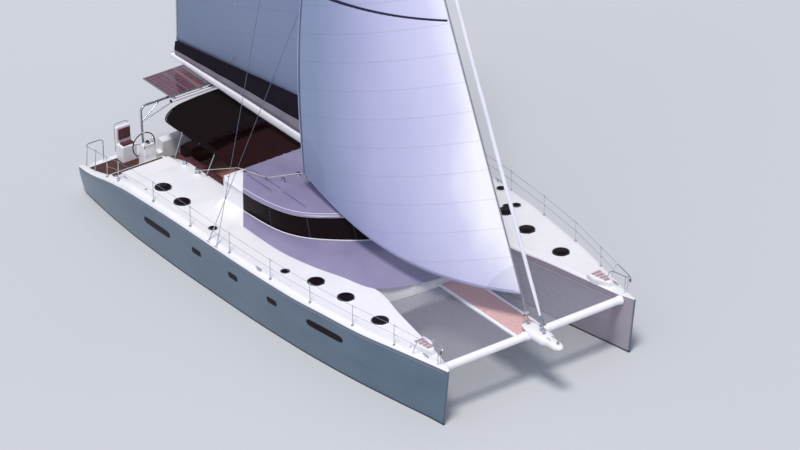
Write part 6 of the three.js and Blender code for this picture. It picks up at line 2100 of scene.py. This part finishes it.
def panels():
    """Framed solar panels, each of two modules, tied to each other at both ends."""
    bm = bmesh.new()
    (aft, front), (near, far), (low, high) = PANEL_X, PANEL_Y, PANEL_Z
    middle = (near + far) / 2
    for _, side in SIDES:
        for inner, outer in ((near, middle - 0.004), (middle + 0.004, far)):
            mirrored_box(bm, side, (aft + 0.02, inner + 0.02, high - 0.012),
                         (front - 0.02, outer - 0.02, high - 0.005))
            for low_x, high_x, low_y, high_y in (
                    (aft, aft + 0.03, inner, outer), (front - 0.03, front, inner, outer),
                    (aft, front, inner, inner + 0.03), (aft, front, outer - 0.03, outer)):
                mirrored_box(bm, side, (low_x, low_y, low), (high_x, high_y, high), material=1, bevel=0.004)
            mirrored_box(bm, side, ((aft + front) / 2 - 0.08, inner + 0.12, low - 0.002),
                         ((aft + front) / 2 + 0.08, inner + 0.24, low + 0.018), material=2, bevel=0.006)
    for x in (aft, front - 0.04):
        box(bm, (x, -near - 0.01, low + 0.004), (x + 0.04, near + 0.01, high - 0.004), material=1,
            bevel=0.004)
    piece("panel_modules", bm, [CELLS, ALLOY, RUBBER], replaces=["solar_panels"])


awning_frame()
awning()
arch()
mainsheet()
panels()


# Bow seats, deck winches, sheets, lamps and the windlass
def bow_seats(name, side):
    """A white moulded seat inside each bow pulpit, with teak slats."""
    bm = bmesh.new()
    low, high = (7.15, 2.92, 1.91), (7.95, 3.30, 2.11)
    outline = [(x, side * y) for x, y in ((low[0], 2.95), (7.5, 2.93), (7.8, 3.08), (high[0], 3.16),
                                          (high[0], 3.3), (7.5, 3.42), (low[0], 3.44))]
    plate(bm, outline[::side], low[2], high[2], bevel=0.045, segments=4)
    for k in range(4):
        x = 7.24 + k * 0.155
        mirrored_box(bm, side, (x, 3.04 + k * 0.025, high[2] - 0.002),
                     (x + 0.12, 3.36 - k * 0.02, high[2] + 0.012), material=1, bevel=0.005)
    piece(f"bow_seat_{name}", bm, [GELCOAT, TEAK])


# Columns: x, |y|, drum radius
DECK_WINCHES = ((-4.85, 2.52, 0.085), (-5.55, 2.52, 0.07))


def deck_winches(name, side):
    bm = bmesh.new()
    for x, y, radius in DECK_WINCHES:
        lathe(bm, ((0.0, 0.0), (0.13, 0.0), (0.13, 0.03), (0.115, 0.045), (0.0, 0.045)),
              (x, side * y, DECK_TOP - 0.002), sides=28, material=1)
        winch(bm, (x, side * y, DECK_TOP + 0.042), radius)
    piece(f"deck_winches_{name}", bm, [STEEL, GELCOAT])


def genoa_sheet():
    """The working sheet: from the clew to its lead block on the roof, over the aft edge, to the winch."""
    bm = bmesh.new()
    lead, edge, top = Vector((-1.9, -2.05, 2.965)), Vector((-2.95, -2.35, 2.94)), Vector((-4.83, -2.59, 2.09))
    tube(bm, [CLEW + Vector((0, 0, -0.02)), lead], 0.008, sides=8)
    tube(bm, rounded([lead, edge, top], 0.1), 0.008, sides=8)
    for k in range(3):
        ring = [(-4.85 + 0.068 * math.cos(t), -2.52 + 0.068 * math.sin(t), 2.07 + k * 0.014)
                for t in full_turn(24)]
        tube(bm, ring, 0.007, sides=6, closed=True)
    piece("genoa_sheet", bm, [ROPE])
    bm = bmesh.new()
    sheave(bm, lead - Vector((0, 0, 0.012)), (0.3, 1, 0.3), (0.04, 0.045, 0.032), (0.02, 0.012))
    for _, side in SIDES:
        y = side * 2.05
        box(bm, (-2.6, y - 0.016, 2.892), (-1.2, y + 0.016, 2.915), bevel=0.004, material=1)
        box(bm, (-1.97, y - 0.03, 2.905), (-1.83, y + 0.03, 2.94), bevel=0.01)
    piece("sheet_leads", bm, [PLASTIC, STEEL])


def lamps():
    bm = bmesh.new()
    for _, side in SIDES:
        base = (8.6, side * 3.42, 2.37)
        rod(bm, (8.6, side * 3.42, 2.33), base, 0.03, sides=18, material=2)
        lathe(bm, ((0.0, 0.0), (0.028, 0.0), (0.028, 0.055), (0.0, 0.055)), base, sides=18,
              material=0 if side < 0 else 1)
        lathe(bm, ((0.0, 0.055), (0.032, 0.055), (0.026, 0.07), (0.0, 0.072)), base, sides=18, material=2)
    piece("bow_lamps", bm, [LAMP_GREEN, LAMP_RED, PLASTIC])


def windlass():
    """A vertical windlass on the nose of the bridgedeck, with its chain guide."""
    bm = bmesh.new()
    base = (4.3, 0.0, DECK_TOP - 0.001)
    lathe(bm, ((0.0, 0.0), (0.15, 0.0), (0.15, 0.02), (0.11, 0.035), (0.1, 0.05), (0.075, 0.065),
               (0.1, 0.085), (0.1, 0.1),
               (0.065, 0.12), (0.06, 0.19), (0.085, 0.215), (0.08, 0.235), (0.0, 0.245)), base, sides=28)
    box(bm, (4.42, -0.06, DECK_TOP - 0.001), (4.56, 0.06, DECK_TOP + 0.03), bevel=0.01)
    piece("windlass", bm, [STEEL])


for name, side in SIDES:
    bow_seats(name, side)
    deck_winches(name, side)
genoa_sheet()
lamps()
windlass()


# Seams, bands and lines on the sails
def on_cloth(bm, point, ends, width, material=0, count=24, lift=0.0035):
    """A flat band laid along a line on a sail, standing just proud of both faces. Ends are (up, back)."""
    (up0, back0), (up1, back1) = ends
    line = [point(up0 + (up1 - up0) * t, back0 + (back1 - back0) * t) for t in np.linspace(0, 1, count)]
    sweep(bm, strip(width / 2, -lift, lift), stations(line, up=(0, 1, 0)), material=material)


# Draft stripes. Columns: share of the height at the luff, and at the leech
GENOA_STRIPES = ((0.478, 0.445), (0.72, 0.7))


def genoa_bands():
    bm = bmesh.new()
    for luff, leech in GENOA_STRIPES:
        on_cloth(bm, genoa_point, ((luff, 0.012), (leech, 0.975)), 0.1, lift=0.006)
    # The leech tape: dark cloth, and painted shade of the curling leech.
    on_cloth(bm, genoa_point, ((0.005, 0.988), (0.995, 0.988)), 0.09, material=2, count=60)
    on_cloth(bm, genoa_point, ((0.004, 0.02), (0.004, 0.98)), 0.05, material=1)
    piece("genoa_bands", bm, [SAIL_STRIPE, SAIL_PATCH, LEECH_TAPE])


# Full-length battens, as shares of the mainsail's height
BATTENS = (0.25, 0.4, 0.55, 0.7, 0.85)


def main_bands():
    bm = bmesh.new()
    for share in BATTENS:
        on_cloth(bm, main_point, ((share, 0.005), (share, 0.992)), 0.06, lift=0.008)
    on_cloth(bm, main_point, ((0.002, 0.99), (0.998, 0.99)), 0.04, count=80)
    on_cloth(bm, main_point, ((0.08, 0.02), (0.93, 0.02)), 0.03, count=60)
    for share in (0.12, 0.24):
        for back in np.linspace(0.06, 0.94, 9):
            place = main_point(share, float(back))
            lathe(bm, ((0.012, -0.005), (0.026, -0.005), (0.026, 0.005), (0.012, 0.005), (0.012, -0.005)),
                  place, (0, 1, 0), sides=14, material=1)
    # The mainsail's tapes are in painted shade, as its cloth is.
    piece("mainsail_bands", bm, [MAIN_TAPE_PAINTED_SHADE, STEEL], body="boom")


# Lazy jacks: x where each leg meets the bag, and x, |y| and z of the upper end and of the ring between them
JACK_FEET = (-2.2, -4.4, -6.8)
JACK_TOP, JACK_RING = (-0.16, 0.1, 13.0), (-2.6, 0.16, 8.2)


def lazy_jacks():
    bm = bmesh.new()
    for _, side in SIDES:
        top, ring = ((x, side * y, z) for x, y, z in (JACK_TOP, JACK_RING))
        tube(bm, [top, ring], 0.004, sides=6)
        for x in JACK_FEET:
            foot = Vector((x, side * 0.13, straight(BAG_SECTIONS, x, 3) - 0.1))
            tube(bm, [ring, foot], 0.004, sides=6)
    made = piece("lazy_jacks", bm, [ROPE_DARK], body=None)
    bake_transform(made)


def bag_hems():
    """A hem along each edge of the stowage bag's open mouth, and a seam along each side."""
    bm = bmesh.new()
    for share, out, radius, sides, material in ((0.97, 0.004, 0.012, 8, 0), (BAND_SHARE, 0.003, 0.008, 6, 1)):
        places = [(x, *bag_side(x, share)) for x in np.linspace(-9.5, -0.5, 60).tolist()]
        for _, side in SIDES:
            tube(bm, [(x, side * (half + out), z) for x, half, z in places], radius, sides=sides,
                 material=material)
    piece("bag_hems", bm, [BAG_CLOTH, BAND_CLOTH], body="boom")


genoa_bands()
main_bands()
lazy_jacks()
bag_hems()


# Floor, light and camera
FLOOR_SIZE = 600


def floor():
    bm = bmesh.new()
    bmesh.ops.create_grid(bm, x_segments=1, y_segments=1, size=FLOOR_SIZE / 2)
    made = put("studio_floor", mesh_of("studio_floor", bm))
    surface, tree, shader = blank("studio_floor", Roughness=0.9)
    mottled(tree, shader, "#c3c9ce", "#cbd0d4", place_in_metres(tree, (1 / 30,) * 3))
    made.data.materials.append(surface)


def lights():
    for name, direction, energy, spread, colour in (
            ("key", (0.3, -0.36, 1.0), 2.35, 14, "#fff8f0"),
            ("fill", (0.5, -1.0, 0.55), 0.3, 60, "#dfe2ff")):
        lamp = bpy.data.lights.new(name, "SUN")
        lamp.energy = energy
        lamp.angle = math.radians(spread)
        lamp.color = linear(colour)[:3]
        made = put(name, lamp)
        made.rotation_euler = Vector(direction).to_track_quat("Z", "Y").to_euler()
    world = bpy.data.worlds.new("studio")
    world.use_nodes = True
    world.node_tree.nodes["Background"].inputs[0].default_value = linear("#d3d6ea")
    world.node_tree.nodes["Background"].inputs[1].default_value = 0.6
    bpy.context.scene.world = world
    bpy.context.scene.view_settings.view_transform = "Standard"


def camera():
    across = Vector((-BACK.y, BACK.x, 0)).normalized()
    upward = BACK.cross(across)
    right = across * math.cos(ROLL) + upward * math.sin(ROLL)
    up = upward * math.cos(ROLL) - across * math.sin(ROLL)
    aside = PHOTO_SIZE[0] / 2 - PRINCIPAL[0]
    above = PRINCIPAL[1] - PHOTO_SIZE[1] / 2
    look = (right * aside + up * above - BACK * FOCAL).normalized()
    right = (right - look * right.dot(look)).normalized()
    turn = Matrix((right, (-look).cross(right), -look)).transposed().to_4x4()
    data = bpy.data.cameras.new("photo_view")
    data.sensor_width = SENSOR
    data.lens = FOCAL * SENSOR / PHOTO_SIZE[0]
    data.clip_end = 2000
    made = put("photo_view", data)
    made.matrix_world = Matrix.Translation(CAMERA_PLACE) @ turn
    bpy.context.scene.camera = made


floor()
lights()
camera()
